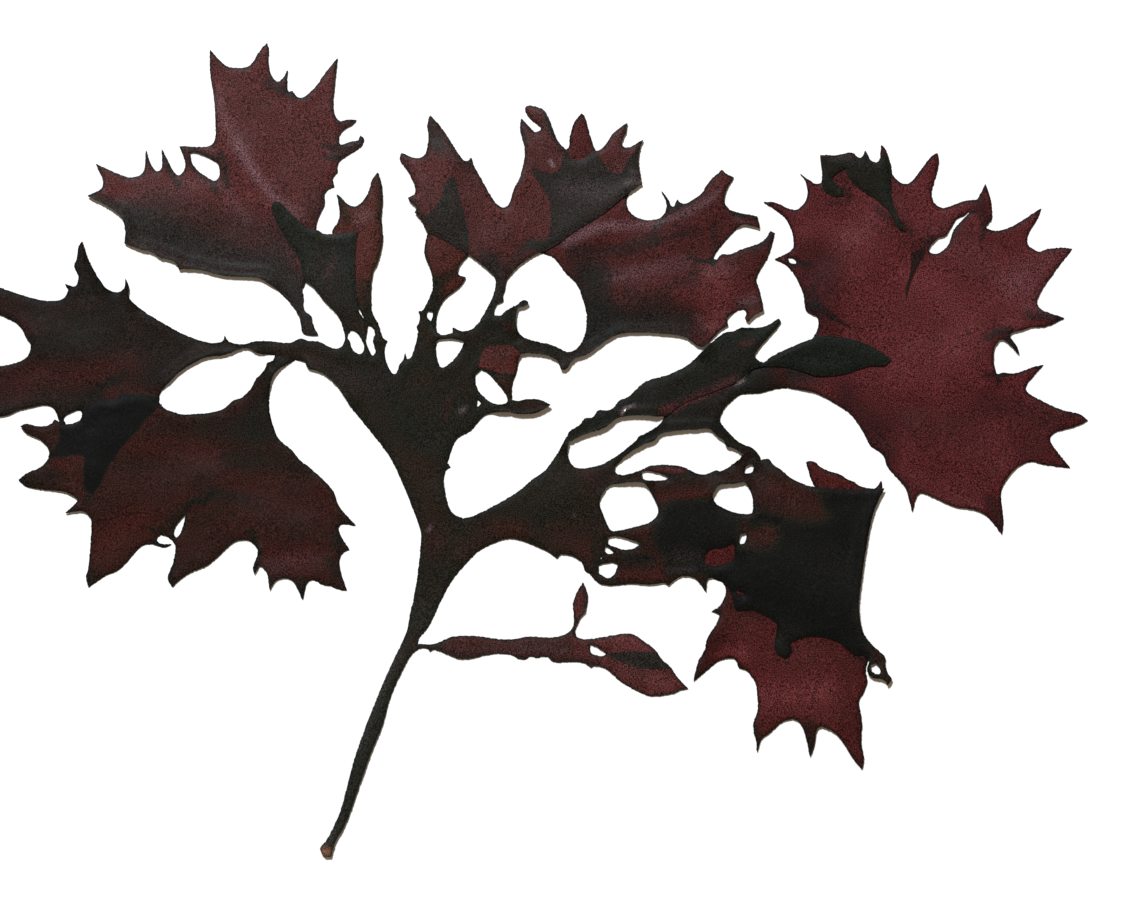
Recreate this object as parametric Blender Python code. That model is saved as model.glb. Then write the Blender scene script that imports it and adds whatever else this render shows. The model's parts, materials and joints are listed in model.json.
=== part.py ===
"""An iridescent red seaweed, as picked, lying on a surface.

One plant: a narrow stipe that widens into two palms, and broad thin blades with sparse pointed
teeth. It is split at its main forks. Each piece is a thin sheet cut to its own margin. Every
sheet follows one shared height of the plant over the surface, and a blade that lies over
another is raised by one step there.
"""
import bpy
import bmesh
import math
import numpy as np
from mathutils import Vector
from mathutils.geometry import delaunay_2d_cdt

# Plan points below are millimetres from the stipe's foot: x to the right, y along the plant.
MM = 0.001
MID_X = 50.1            # middle of the plant's width, where the part's origin lies
MID_Y = 100.8           # middle of its length

SHEET = 0.6             # thickness of a blade
STIPE_SHEET = 1.6       # thickness of the stipe at its foot
STIPE_TOP = 62.7        # length of stipe over which it thins to a blade's thickness
GAP = 0.3               # space between two pieces where they meet at a fork
STEP = 1.1              # rise of a blade over the one that it lies on
STEP_FLAT = 4.0         # how far past the lower blade's margin the rise stays whole
STEP_REACH = 8.0        # further distance over which it comes down to the surface again
ROOT_RAMP = 4.0         # distance from a fork over which a blade leaves the palm's level

GRID = 6.2              # spacing of points inside a sheet
GRID_CLEAR = 2.3        # least distance of those points from the margin
MARGIN_FIT = 0.13       # how closely the margin's facets follow its curve
SEAM_SPAN = 6.5         # longest facet edge along a fork's cut

SWELL = 0.3             # height of the broad swells where the plant lifts off the surface
REST_X, REST_Y = 24.0, 99.0      # middle of the left palm, which lies truly flat
REST_FLAT = 9.0         # radius of that flat patch
REST_REACH = 16.0       # further distance over which the swells come in

# Crests: soft folds that stand up from the sheet, each (from x, y, to x, y, half width, height).
CRESTS = [
    (-25, 186, -19, 173, 9, 0.5), (-19, 173, -8, 161, 9, 0.5), (-44, 158, -30, 162, 10, 0.5),
    (62, 155, 76, 162, 8, 0.4), (82, 150, 98, 163, 8, 0.55), (72, 138, 92, 142, 9, 0.5),
    (96, 140, 106, 150, 8, 0.5), (42, 150, 46, 158, 7, 0.4), (30, 160, 30, 172, 8, 0.4),
    (-48, 88, -30, 92, 10, 0.6), (-24, 84, -6, 80, 9, 0.55), (-50, 108, -58, 96, 10, 0.4),
    (-70, 128, -58, 124, 9, 0.5), (128, 140, 142, 156, 10, 0.65), (150, 120, 172, 126, 10, 0.6),
    (150, 104, 168, 96, 9, 0.6), (152, 152, 166, 148, 9, 0.5), (112, 70, 126, 62, 10, 0.5),
    (122, 44, 128, 34, 9, 0.5), (100, 54, 112, 46, 8, 0.4), (84, 80, 100, 79, 9, 0.4),
    (70, 51, 82, 47, 7, 0.55), (44, 84, 60, 90, 10, 0.5), (20, 140, 30, 148, 8, 0.4),
]

TIP = "tip"             # a sharp point or corner of the margin
CUT = "cut"             # an end of the cut across a fork


def smooth(t):
    """Ease from 0 to 1 with level ends."""
    t = np.clip(t, 0.0, 1.0)
    return t * t * (3.0 - 2.0 * t)


def segment_distance(points, start, end):
    """Distance of each point from the segment between two places."""
    start = np.asarray(start, float)
    along = np.asarray(end, float) - start
    share = np.clip((points - start) @ along / (along @ along), 0.0, 1.0)
    return np.linalg.norm(points - start - share[:, None] * along, axis=1)


def loop_distance(points, loop):
    """Distance of each point from a closed outline."""
    nearest = np.full(len(points), np.inf)
    for i in range(len(loop)):
        nearest = np.minimum(nearest, segment_distance(points, loop[i - 1], loop[i]))
    return nearest


def inside(points, loop):
    """True for each point that lies within a closed outline."""
    x, y = points[:, 0], points[:, 1]
    within = np.zeros(len(points), bool)
    for i in range(len(loop)):
        (x0, y0), (x1, y1) = loop[i - 1], loop[i]
        if y0 == y1:
            continue
        crosses = (y0 > y) != (y1 > y)
        within ^= crosses & (x < x0 + (y - y0) * (x1 - x0) / (y1 - y0))
    return within


def ground_height(points):
    """Height of the plant's underside over the surface: broad swells that sink to nothing
    where it rests, and the soft crests."""
    x, y = points[:, 0], points[:, 1]
    wave = np.sin(x / 17.0 + 0.4) * np.cos(y / 21.0 - 0.7) + 0.5 * np.sin(x / 31.0 - y / 13.0)
    height = SWELL * np.maximum(wave, 0.0) ** 2
    for x0, y0, x1, y1, half_width, crest in CRESTS:
        share = np.clip(segment_distance(points, (x0, y0), (x1, y1)) / half_width, 0.0, 1.0)
        height += crest * (1.0 - share ** 2) ** 2
    from_rest = np.hypot(x - REST_X, y - REST_Y)
    return height * smooth((from_rest - REST_FLAT) / REST_REACH)


def cover(points, loop):
    """1 over a lower blade and close round it, falling to 0 a little way off."""
    away = np.where(inside(points, loop), 0.0, loop_distance(points, loop))
    return 1.0 - smooth((away - STEP_FLAT) / STEP_REACH)


def curve_points(run):
    """Many points on a smooth curve through the run's own points (centripetal Catmull-Rom)."""
    run = np.array(run, float)
    if len(run) == 2:
        return run
    ends = np.vstack([2 * run[0] - run[1], run, 2 * run[-1] - run[-2]])
    knots = np.concatenate([[0.0], np.cumsum(np.linalg.norm(np.diff(ends, axis=0), axis=1) ** 0.5)])
    curve = [run[:1]]
    for i in range(1, len(ends) - 2):
        k0, k1, k2, k3 = knots[i - 1:i + 3]
        p0, p1, p2, p3 = ends[i - 1:i + 3]
        t = np.linspace(k1, k2, 13)[1:, None]
        a1 = (k1 - t) / (k1 - k0) * p0 + (t - k0) / (k1 - k0) * p1
        a2 = (k2 - t) / (k2 - k1) * p1 + (t - k1) / (k2 - k1) * p2
        a3 = (k3 - t) / (k3 - k2) * p2 + (t - k2) / (k3 - k2) * p3
        b1 = (k2 - t) / (k2 - k0) * a1 + (t - k0) / (k2 - k0) * a2
        b2 = (k3 - t) / (k3 - k1) * a2 + (t - k1) / (k3 - k1) * a3
        curve.append((k2 - t) / (k2 - k1) * b1 + (t - k1) / (k2 - k1) * b2)
    return np.vstack(curve)


def fit_facets(curve):
    """Keep only the curve's points that its facets need to stay within MARGIN_FIT of it."""
    if len(curve) < 3:
        return curve
    off = segment_distance(curve, curve[0], curve[-1] + 1e-9)
    worst = int(np.argmax(off))
    if off[worst] < MARGIN_FIT or worst in (0, len(curve) - 1):
        return curve[[0, -1]]
    return np.vstack([fit_facets(curve[:worst + 1])[:-1], fit_facets(curve[worst:])])


def cut_points(start, end):
    """Evenly spaced points along a fork's cut."""
    count = max(1, round(math.dist(start, end) / SEAM_SPAN))
    return np.linspace(start, end, count + 1)


def turned_left(margin):
    """The margin's points in the order that keeps the sheet on their left."""
    x = np.array([p[0] for p in margin])
    y = np.array([p[1] for p in margin])
    area = np.sum(x * np.roll(y, -1) - np.roll(x, -1) * y)
    return list(margin) if area > 0 else list(margin)[::-1]


def drawn_back(margin):
    """Move the ends of each cut half a gap into the sheet, so that two pieces don't touch."""
    count = len(margin)
    flags = [p[2] if len(p) > 2 else None for p in margin]
    xy = [np.array(p[:2], float) for p in margin]
    moved = []
    for i in range(count):
        normals = []
        for a, b in (((i - 1) % count, i), (i, (i + 1) % count)):
            if flags[a] == CUT and flags[b] == CUT:
                way = (xy[b] - xy[a]) / np.linalg.norm(xy[b] - xy[a])
                normals.append(np.array([-way[1], way[0]]))
        if len(normals) == 2:
            both = normals[0] + normals[1]
            shift = both / (1.0 + normals[0] @ normals[1])
        else:
            shift = normals[0] if normals else np.zeros(2)
        moved.append(xy[i] + shift * GAP / 2)
    return moved, flags


def closed_loop(margin):
    """The facets of a closed margin, with its tips and cuts sharp and the rest smooth."""
    xy, flags = drawn_back(turned_left(margin))
    sharp = [i for i, flag in enumerate(flags) if flag]
    if not sharp:
        ring = np.array(xy[-2:] + xy + xy[:2])
        curve = curve_points(ring)[12 * 2:-12 * 2]
        half = len(curve) // 2
        return np.vstack([fit_facets(curve[:half + 1])[:-1], fit_facets(curve[half:])[:-1]])
    facets = []
    for start, end in zip(sharp, sharp[1:] + [sharp[0] + len(xy)]):
        run = [xy[i % len(xy)] for i in range(start, end + 1)]
        is_cut = len(run) == 2 and flags[start] == CUT and flags[end % len(xy)] == CUT
        points = cut_points(*run) if is_cut else fit_facets(curve_points(run))
        facets.append(points[:-1])
    return np.vstack(facets)


def inner_points(loops):
    """Points of one shared triangular grid that lie inside the sheet, clear of its margins."""
    low, high = loops[0].min(axis=0), loops[0].max(axis=0)
    rows = np.arange(math.floor(low[1] / GRID), math.ceil(high[1] / GRID) + 1)
    columns = np.arange(math.floor(low[0] / GRID) - 1, math.ceil(high[0] / GRID) + 1)
    column, row = np.meshgrid(columns, rows)
    grid = np.stack([(column + 0.5 * (row % 2)) * GRID, row * GRID], axis=-1).reshape(-1, 2)
    keep = inside(grid, loops[0])
    for loop in loops[1:]:
        keep &= ~inside(grid, loop)
    for loop in loops:
        keep &= loop_distance(grid, loop) > GRID_CLEAR
    return grid[keep]


def sheet_triangles(loops):
    """Plan points and triangles of a sheet with its holes left open."""
    points = np.vstack(loops + [inner_points(loops)])
    edges = []
    first = 0
    for loop in loops:
        count = len(loop)
        edges += [(first + i, first + (i + 1) % count) for i in range(count)]
        first += count
    plan, _, triangles, _, _, _ = delaunay_2d_cdt([Vector(p) for p in points], edges, [], 0, 1e-6)
    plan = np.array([p[:] for p in plan])
    triangles = np.array(triangles)
    middle = plan[triangles].mean(axis=1)
    keep = inside(middle, loops[0])
    for loop in loops[1:]:
        keep &= ~inside(middle, loop)
    return plan, triangles[keep]


def wet_tissue(name, colour):
    """Material of one piece: thin, wet, glossy tissue. The colour is sRGB, 0 to 255."""
    material = bpy.data.materials.new(name + "_tissue")
    material.use_nodes = True
    shader = material.node_tree.nodes["Principled BSDF"]
    linear = [((c / 255 + 0.055) / 1.055) ** 2.4 for c in colour]
    shader.inputs["Base Color"].default_value = (*linear, 1.0)
    shader.inputs["Roughness"].default_value = 0.42
    shader.inputs["Metallic"].default_value = 0.0
    return material


OUTLINES = {}           # the faceted outer margin of each piece that is made, by name


def add_sheet(name, margin, colour, holes=(), over=(), root=None, stem=False):
    """Make one piece: a sheet cut to its margin and holes, raised where it lies over others.

    root is the place where the piece leaves its palm, at the palm's level.
    """
    loops = [closed_loop(margin)] + [closed_loop(hole) for hole in holes]
    OUTLINES[name] = loops[0]
    plan, triangles = sheet_triangles(loops)
    rise = np.zeros(len(plan))
    for below in over:
        rise = np.maximum(rise, cover(plan, OUTLINES[below]))
    if root is not None:
        rise *= smooth(np.hypot(*(plan - np.array(root)).T) / ROOT_RAMP)
    low = ground_height(plan) + STEP * rise
    thickness = np.full(len(plan), SHEET)
    if stem:
        thickness += (STIPE_SHEET - SHEET) * (1.0 - smooth(plan[:, 1] / STIPE_TOP))

    mesh = bmesh.new()
    x, y = (plan[:, 0] - MID_X) * MM, (plan[:, 1] - MID_Y) * MM
    verts = [mesh.verts.new(p) for p in zip(x, y, low * MM)]
    for a, b, c in triangles:
        mesh.faces.new((verts[a], verts[c], verts[b]))
    raised = bmesh.ops.extrude_face_region(mesh, geom=mesh.faces[:], use_keep_orig=True)
    top = [v for v in raised["geom"] if isinstance(v, bmesh.types.BMVert)]
    by_place = {(round(v.co.x, 9), round(v.co.y, 9)): t for v, t in zip(verts, thickness)}
    for vert in top:
        vert.co.z += by_place[round(vert.co.x, 9), round(vert.co.y, 9)] * MM
    bmesh.ops.recalc_face_normals(mesh, faces=mesh.faces[:])

    data = bpy.data.meshes.new(name)
    mesh.to_mesh(data)
    mesh.free()
    data.materials.append(wet_tissue(name, colour))
    piece = bpy.data.objects.new(name, data)
    bpy.context.collection.objects.link(piece)
    return piece


for leftover in list(bpy.data.objects):
    bpy.data.objects.remove(leftover, do_unlink=True)

# --- The stipe and the two palms -------------------------------------------------------------

# The stipe runs from its torn foot to where the fan begins to widen.
add_sheet("stipe", [
    (-0.7, 0), (-1.1, 1.3, TIP), (-0.06, 2.4), (0.9, 4), (3.5, 9.3), (5.4, 15.7), (7.1, 22.4),
    (9.2, 28.5), (12.1, 35.9), (15, 43.3), (17.4, 48.4), (20, 54), (20.8, 56.4), (21.3, 59.6),
    (22.1, 62.8, CUT), (28.65, 62.6, CUT), (27.05, 59.4), (25.6, 56.3), (23.8, 54.2),
    (23.2, 53.2), (23.2, 52.2, CUT), (23.4, 51, CUT), (21.6, 49.65), (20, 47.1), (18.4, 43.3),
    (16.3, 39.1), (14.4, 32.3), (11.5, 25.3), (8.9, 17.9), (6, 10.2), (4.7, 6.5), (2.8, 3.5),
    (1.9, 0.9), (1.5, -0.8, TIP), (0.26, -0.8)],
    colour=(45, 39, 32), stem=True)

# The left palm bears every blade of the top and the left. Its net of small gaps, the red web
# between them and the hooked flap at its right are part of it.
add_sheet("left_palm", [
    (22.1, 62.8, CUT), (28.65, 62.6, CUT), (34.5, 83.6, CUT), (32.2, 84.6), (31.2, 85.9),
    (30.3, 88.4), (29.8, 91.3), (29.6, 93.2), (30.2, 95.75), (31.3, 96.5, TIP), (30.5, 97.4, TIP),
    (30.9, 98.9), (32.1, 102.2), (32.9, 103.5), (34.2, 104.5), (36, 105.3), (38.75, 108.5),
    (40.2, 109.6), (42.9, 110.3), (46.25, 110.3, CUT), (46.6, 113.3, CUT), (46.7, 116.8),
    (47.4, 119), (48, 120.9), (48.4, 123.5), (49, 124.9, TIP), (50.6, 125.05),
    (53.6, 124.8, CUT), (53.9, 127.55, CUT), (51.9, 128), (50, 128.6), (48.5, 129.9),
    (47.9, 131.2), (47.6, 133.1), (47.9, 135.35), (48.2, 136.3), (49.6, 136.6), (50.8, 137.4, TIP),
    (50.3, 138), (49.5, 138.1), (48.3, 137.1), (46.7, 136.2), (45.3, 135.5), (44.2, 134.4),
    (42.2, 134.2, CUT), (38.7, 132.8, CUT), (37.9, 131.7), (36.8, 130.9), (35.2, 130.4),
    (33.6, 130.5), (32.05, 131.3, TIP), (32, 129.9, TIP), (30.1, 129.6), (28.8, 129.4),
    (28, 130.1, CUT), (23.3, 130.2, CUT), (22.9, 127.7), (22.2, 125.9), (21.4, 123.65),
    (20.4, 123.5), (20, 125, TIP), (19.65, 123.2, TIP), (18.8, 122.2), (18.05, 120.1),
    (17.2, 119.6), (16.1, 120.9), (15.2, 122.9), (14.8, 125.1), (15, 127), (15.5, 128, TIP),
    (14.7, 128.5), (13.7, 130.4), (13.3, 132.2, CUT), (10.4, 132.7, CUT), (4.5, 131.5, CUT),
    (4.9, 130.1), (5.1, 128.5), (4.7, 127.2), (4.1, 126.4), (2.8, 126), (0.9, 126.4),
    (-0.4, 127.2), (-1.8, 127.8), (-4.2, 127.9), (-6, 128.5, TIP), (-8.4, 127.5), (-10.6, 127.5),
    (-12.9, 127.8, CUT), (-12.5, 124.5, CUT), (-7.4, 123.25, CUT), (-4.9, 122.9, TIP),
    (-4.2, 121.3), (-2.4, 120.8), (0.1, 119.6), (1.7, 118.3), (3.5, 116.4), (6.5, 111.7),
    (10.4, 106.9), (14.55, 101.6), (16.5, 98.75), (17.8, 96.2), (18.8, 93.4), (21, 88.3),
    (23.2, 82.3), (24.1, 80.1), (23.8, 75.6), (23.2, 69.2)],
    colour=(42, 36, 32), holes=[
        [(5.7, 130.3), (6.7, 130.7), (7.8, 130.3), (8.75, 129.3), (9.55, 127.8), (9.9, 126.2),
         (9.55, 125.1), (8.6, 124.6), (7.5, 125.1), (6.5, 126.4), (6.1, 127.9), (5.5, 129.1)],
        [(10.2, 131.5), (11, 131.9), (12.1, 131.2), (12.6, 129.9), (12.1, 128.2), (12.4, 126.9),
         (12.75, 125.3), (12.1, 124.2), (11.5, 124.6), (10.8, 126.2), (10.3, 127.2), (10.1, 128.5),
         (10.4, 130)],
        [(28.1, 128.1), (29.1, 128.5), (31.7, 128.6), (33.9, 128.3), (34.7, 128, TIP),
         (34.55, 126.9), (33.6, 124.9), (32.3, 123.3), (30.7, 121.9), (29.4, 121.25),
         (28.6, 121.6), (28.1, 122.9), (27.7, 125.1), (27.7, 127)],
        [(38, 121), (38.75, 121.05), (40.2, 120.4), (41.5, 119.3), (43.1, 117.4), (44.8, 115.5),
         (45.6, 113.9), (45.7, 112.8), (44.8, 112.2), (43.5, 112), (42.1, 112.3), (40.8, 113),
         (39.6, 114.1), (38.3, 115.5), (37.6, 117.4), (37.5, 119.3)],
        [(37.3, 112.5), (38.2, 113.3), (39.1, 112.4), (38.2, 111.5)]])

# The right palm bears the dark blade, the right blade's stalk and the lower right cluster.
add_sheet("right_palm", [
    (28.65, 62.6, CUT), (30.3, 65.8), (31.9, 68.5), (34.1, 71.1), (37.9, 75.2), (40.5, 76.7),
    (45, 78.6), (47.6, 78.6), (49.5, 77.95), (55.6, 75.5), (56.9, 74.6), (57.9, 73.7, TIP),
    (58.8, 74.6), (60.7, 74.6), (63.3, 73.6), (64.55, 72.3), (64.9, 70.9), (66.15, 69.9, CUT),
    (66.6, 80, CUT), (67.2, 90.4, CUT), (72.35, 95.5, CUT), (72.3, 96), (72.6, 96.6, CUT),
    (71.3, 98.2, CUT), (69.2, 97), (67.1, 96.5), (65, 96.1), (63.3, 96.1), (62.3, 96.4),
    (61.5, 97.2), (60.8, 98.7), (60.6, 99.9), (60.6, 101.6), (60.9, 102.8, CUT),
    (60.5, 104.1, CUT), (59.8, 102.8), (58.75, 101), (57.7, 99.1), (56.5, 97.4), (55, 95.5),
    (53.75, 94.7), (51.5, 93), (50, 91.7), (48.5, 90.4), (45, 88.5), (41.8, 86.8), (38.6, 85.1),
    (36.7, 84), (34.5, 83.6, CUT)],
    colour=(40, 34, 30))

# --- The blades of the left ------------------------------------------------------------------

# A long strip and the two-armed blade at its end. It lies under the lower left blade.
add_sheet("far_left_blade", [
    (-12.9, 127.8, CUT), (-15.1, 127.7), (-17.7, 127.8), (-20, 127.1), (-22.2, 127.2),
    (-24.4, 128), (-25.1, 129.3, TIP), (-25.4, 128), (-26.7, 127.5), (-28.6, 127.4),
    (-30.5, 127.9), (-33.6, 128.8), (-38.1, 131.1), (-41.3, 132.8), (-44.6, 134.9),
    (-46.8, 136.5), (-48.4, 138), (-49.1, 138.9), (-49, 141.2), (-49.8, 143.5, TIP),
    (-49.9, 141.6), (-51, 140.3), (-52.6, 140.1), (-53.8, 140.5), (-55.1, 141.5), (-57, 144.7),
    (-59.1, 148.2), (-59.8, 150.1), (-60.7, 152.8, TIP), (-61.4, 151.9), (-62, 148.2),
    (-62.6, 146.6), (-61.9, 145.35), (-61.5, 143.8), (-62.1, 141.8), (-63.1, 141.5),
    (-64.9, 142.2, TIP), (-64.1, 140.6), (-65.3, 138.6), (-66.5, 138.1), (-68.4, 137.9),
    (-70.3, 138), (-74.2, 138.9), (-79.6, 140.8), (-83.5, 142.3), (-86, 143.9),
    (-87.6, 145.6, TIP), (-87.3, 143.2), (-88.6, 141.4), (-90.3, 140.3, TIP), (-88.9, 138.6),
    (-87.2, 137.6), (-84.5, 135.9), (-81.2, 134.4), (-78, 133.1), (-76.4, 131.9),
    (-75.3, 130.4), (-74.5, 128.7), (-73.5, 127.4), (-73.5, 125.8), (-74.2, 124.2),
    (-75.5, 123.1), (-77.4, 122.4), (-79.6, 122), (-83.5, 121.3), (-86.5, 121.8),
    (-89.6, 122.9, TIP), (-88.6, 120.6), (-88.7, 118.2), (-90.4, 115.9, TIP), (-88.6, 114.4),
    (-87.6, 112.3), (-88.9, 109.6, TIP), (-86, 109.6), (-83.6, 109.2), (-79.6, 109.4),
    (-77.7, 110.3), (-73.2, 111.5), (-69.7, 112), (-68.2, 111.6), (-67.4, 110.7),
    (-66.3, 107.4), (-65.9, 103.8), (-67.2, 101.5), (-68.5, 99.2, TIP), (-64.6, 99.3),
    (-62, 99.8), (-60, 99.2), (-60, 95), (-59.8, 91), (-58.2, 90, TIP), (-56.9, 91.3),
    (-54, 97), (-49.9, 102.8), (-47.3, 105.4), (-44.8, 108.6), (-41.9, 111.5), (-41.5, 113.7),
    (-41.1, 115.2), (-38, 118.4), (-36.3, 120.3), (-33.1, 122.1), (-31.2, 123.4), (-29.55, 124),
    (-25.1, 124.6), (-22.8, 125.4), (-19.6, 126.3), (-17.05, 125.1), (-15.8, 124.9),
    (-12.5, 124.5, CUT)],
    colour=(56, 40, 34), holes=[
        [(-65.3, 107), (-65.2, 109), (-63.9, 109.9), (-62.3, 110.6), (-61, 110.6),
         (-60.6, 109.6), (-61, 107.9), (-62.3, 106.9), (-64.2, 106.2)]])

# The broad toothed blade that hangs down on the left.
add_sheet("lower_left_blade", [
    (-12.5, 124.5, CUT), (-13, 122.95), (-14.3, 122.5), (-14.6, 121.5), (-15.6, 119.9),
    (-17.2, 118.3), (-18.5, 115.9), (-20.1, 114.3), (-21.3, 113.5), (-22.9, 113), (-24.6, 111.4),
    (-26.2, 110.6), (-28.1, 110.1), (-31.3, 109.9), (-33.2, 109.7), (-35.8, 109.55),
    (-38.3, 110.35), (-40.3, 111.2), (-41.7, 112.8), (-44.4, 114.4), (-47.6, 114.7),
    (-50.5, 114.8), (-50.8, 116, TIP), (-51.5, 113.9), (-53.4, 112.9), (-56, 113.1),
    (-58.2, 112.1), (-60.4, 109.9), (-61, 108.3), (-62.3, 107.5), (-64.2, 107.1),
    (-65.5, 107.2), (-67.4, 108.3, TIP), (-68.4, 107.2), (-70, 106.6), (-73.2, 106.8),
    (-74.5, 107.2), (-76, 106.7, TIP), (-74.7, 105.1), (-73, 104.3), (-71.3, 103.5),
    (-69.9, 102.3), (-69, 100.9), (-68.8, 99.6), (-69.4, 98), (-70.7, 96.6), (-72.6, 95.6),
    (-74.6, 94.8), (-76.5, 93.3, TIP), (-74.9, 91.8), (-73, 91.3), (-70.1, 90.9), (-67.2, 90.7),
    (-64.9, 90.3), (-63, 89.4), (-61.7, 88.4), (-62.4, 87.1), (-63.65, 86.2), (-64.8, 85, TIP),
    (-63, 85.35), (-60.8, 85.6), (-59.5, 85), (-58.4, 83.6), (-58.3, 80.8), (-58.75, 74.4),
    (-59.1, 71.2), (-59.6, 68.6), (-59.1, 66.5, TIP), (-57.9, 67.3), (-54.7, 69.5),
    (-52.8, 70.3), (-51.2, 71.2), (-49.9, 72.8), (-48, 74.7), (-46.7, 76.1), (-45.4, 77),
    (-43.8, 77.3), (-42.2, 77.1), (-41, 76.6), (-39.7, 76.5), (-38.45, 77.15, TIP), (-41, 77.2),
    (-42.1, 78.2), (-41.4, 79.5), (-40, 79.4), (-38.7, 78.7), (-37.8, 77.7), (-37.3, 76.9),
    (-37.4, 75), (-37.9, 72.4), (-38.7, 70.2), (-39.2, 68.6), (-38.1, 66.6, TIP), (-37.3, 67.5),
    (-35.5, 68.75), (-33.9, 70), (-31.7, 71), (-29.4, 72), (-27.5, 73.4), (-24.3, 76.6),
    (-22.7, 77.8), (-21.1, 78.3), (-19.3, 78.3), (-17.8, 77.4), (-16.8, 76), (-16.7, 74.7),
    (-17.3, 73), (-17.9, 71.2), (-17.6, 69.8, TIP), (-16.4, 71.8), (-14.9, 70.7),
    (-14.3, 69.6), (-13.75, 65.8, TIP), (-13, 67.3), (-12.05, 68.3), (-10.4, 68.8),
    (-8.7, 68.5), (-7.7, 67.7), (-6.8, 66.1), (-5.6, 63.4, TIP), (-5.25, 64.8), (-4.9, 66.7),
    (-4.35, 67.8), (-3.1, 68.4), (-1.5, 67.7), (-0.2, 67), (1.7, 66.8), (2.9, 66.2),
    (5.4, 65.7, TIP), (4.6, 68.5), (3.8, 70.5), (3.5, 72.5), (3.9, 74.2), (4.9, 75.35),
    (6.05, 75.8, TIP), (4.9, 77.75), (3.5, 80.1), (3.3, 81.3), (4, 82.2), (5.6, 82.2),
    (7.6, 81.9, TIP), (6.2, 83.5), (3.5, 86.6), (2.7, 88.3), (2.2, 89.9), (0.8, 91.9),
    (-0.8, 93.5), (-4.7, 97), (-6.6, 98.4), (-8.2, 100.5), (-11.1, 102.9), (-12.2, 104.5),
    (-13.6, 108.7), (-14, 110.9), (-14.1, 113.5), (-13.5, 117.2), (-13.3, 118.6),
    (-12.4, 120.2), (-10.8, 121.5), (-9, 122.4), (-7.4, 123.25, CUT)],
    colour=(55, 35, 31), over=["far_left_blade"], holes=[
        [(-34.7, 85.1, TIP), (-36, 83.5), (-37.4, 81.6), (-37.9, 80.1), (-37.3, 78.7),
         (-36.3, 79.5), (-35.7, 81.1), (-35, 83)]])

# --- The blades of the top left --------------------------------------------------------------

# The tall toothed blade. Its stalk has torn free of the palm and ends in a frayed point.
add_sheet("upper_left_blade", [
    (-57.2, 172.2, TIP), (-54.8, 171), (-51.5, 169.7), (-49, 168.8), (-46.8, 169.1),
    (-45.3, 170.3), (-44.7, 175.6, TIP), (-43.9, 172.8), (-42.6, 170.7), (-41.5, 170.4),
    (-40.7, 171.3), (-40.6, 173.5), (-40.75, 175.9, TIP), (-39.3, 172.8), (-38, 170.5),
    (-36.7, 169.3), (-35.5, 170), (-34.8, 172), (-35.2, 174), (-36.3, 176.6, TIP), (-33, 176.6),
    (-29, 176.6), (-27.6, 177.8), (-27.2, 180), (-27.4, 184), (-27.8, 190), (-28.6, 195),
    (-28.7, 200.7, TIP), (-26.7, 198.4), (-24.4, 196.5), (-22.2, 196.2), (-19, 196.6),
    (-17.05, 199), (-15.8, 201), (-14.5, 202.4, TIP), (-14.1, 200.6), (-14.2, 198.1),
    (-13.9, 195.8), (-13.2, 193.9), (-11.9, 192.7), (-10.6, 193.4), (-9.4, 195.6, TIP),
    (-9.4, 192.9), (-9.5, 191.2), (-9, 190.2), (-8.2, 190.45), (-7.4, 189.4), (-6.5, 188.7),
    (-5.5, 188.8), (-3.9, 189.9), (-2, 191.8), (-0.1, 194.6), (3.1, 198.6, TIP), (2.7, 194.9),
    (2.2, 188.5), (2, 186.5), (2.5, 184.3), (3.8, 182.8), (5.7, 183.2), (7.8, 183.2, TIP),
    (6.8, 182.05), (5.1, 181.1), (3.8, 179.8), (3.4, 178.2), (3.85, 177), (6, 177.6),
    (8.4, 178.2), (8.85, 179.3, TIP), (9.55, 178.7, TIP), (9.2, 176.8), (7.3, 175.6),
    (5.4, 174.2), (3.5, 172.9), (3, 171.2), (3.1, 170.2), (1.9, 168.6), (2.3, 166.5, TIP),
    (0.9, 165.9), (-0.1, 164.9), (-0.1, 162.5), (-0.7, 160.9), (-1.8, 158.7), (-2.1, 156.7),
    (-2.5, 152), (-4, 147), (-4.9, 142.6), (-5.7, 140.7), (-5.4, 138.7), (-5.5, 136.8),
    (-5.05, 135.5), (-3.6, 134.3), (-3.1, 132.3), (-1.8, 129.4, TIP), (-4.2, 129.5),
    (-5.5, 130.1, TIP), (-6, 133), (-6.8, 134.9), (-8.1, 136.8), (-9.7, 138.4), (-11, 140),
    (-13.9, 142.3), (-16.3, 143.7), (-18.9, 144), (-25.3, 144.4), (-28.5, 145.2),
    (-31.7, 145.9), (-34.9, 146), (-36.4, 146, TIP), (-37.2, 147.6), (-39.1, 148.5),
    (-41, 148.8), (-43.3, 150.3), (-45.5, 150.8), (-48.1, 151.8), (-50, 152.4, TIP),
    (-49.7, 154.9), (-50, 156.9), (-50.6, 158.8), (-51.9, 160.1), (-53.85, 161.5),
    (-56.4, 162.8), (-59.2, 164.2, TIP), (-56.8, 165.3), (-55.6, 166.3), (-55.4, 168),
    (-56.2, 170)],
    colour=(81, 47, 48), holes=[
        [(-34.3, 174.3), (-33.2, 175.2), (-31, 174.5), (-28, 173.3), (-26.8, 172.4),
         (-26.2, 170.6), (-26.4, 168.9), (-27.5, 167.9), (-29.5, 169), (-31.8, 170.5),
         (-33.3, 172.5)]])

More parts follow.
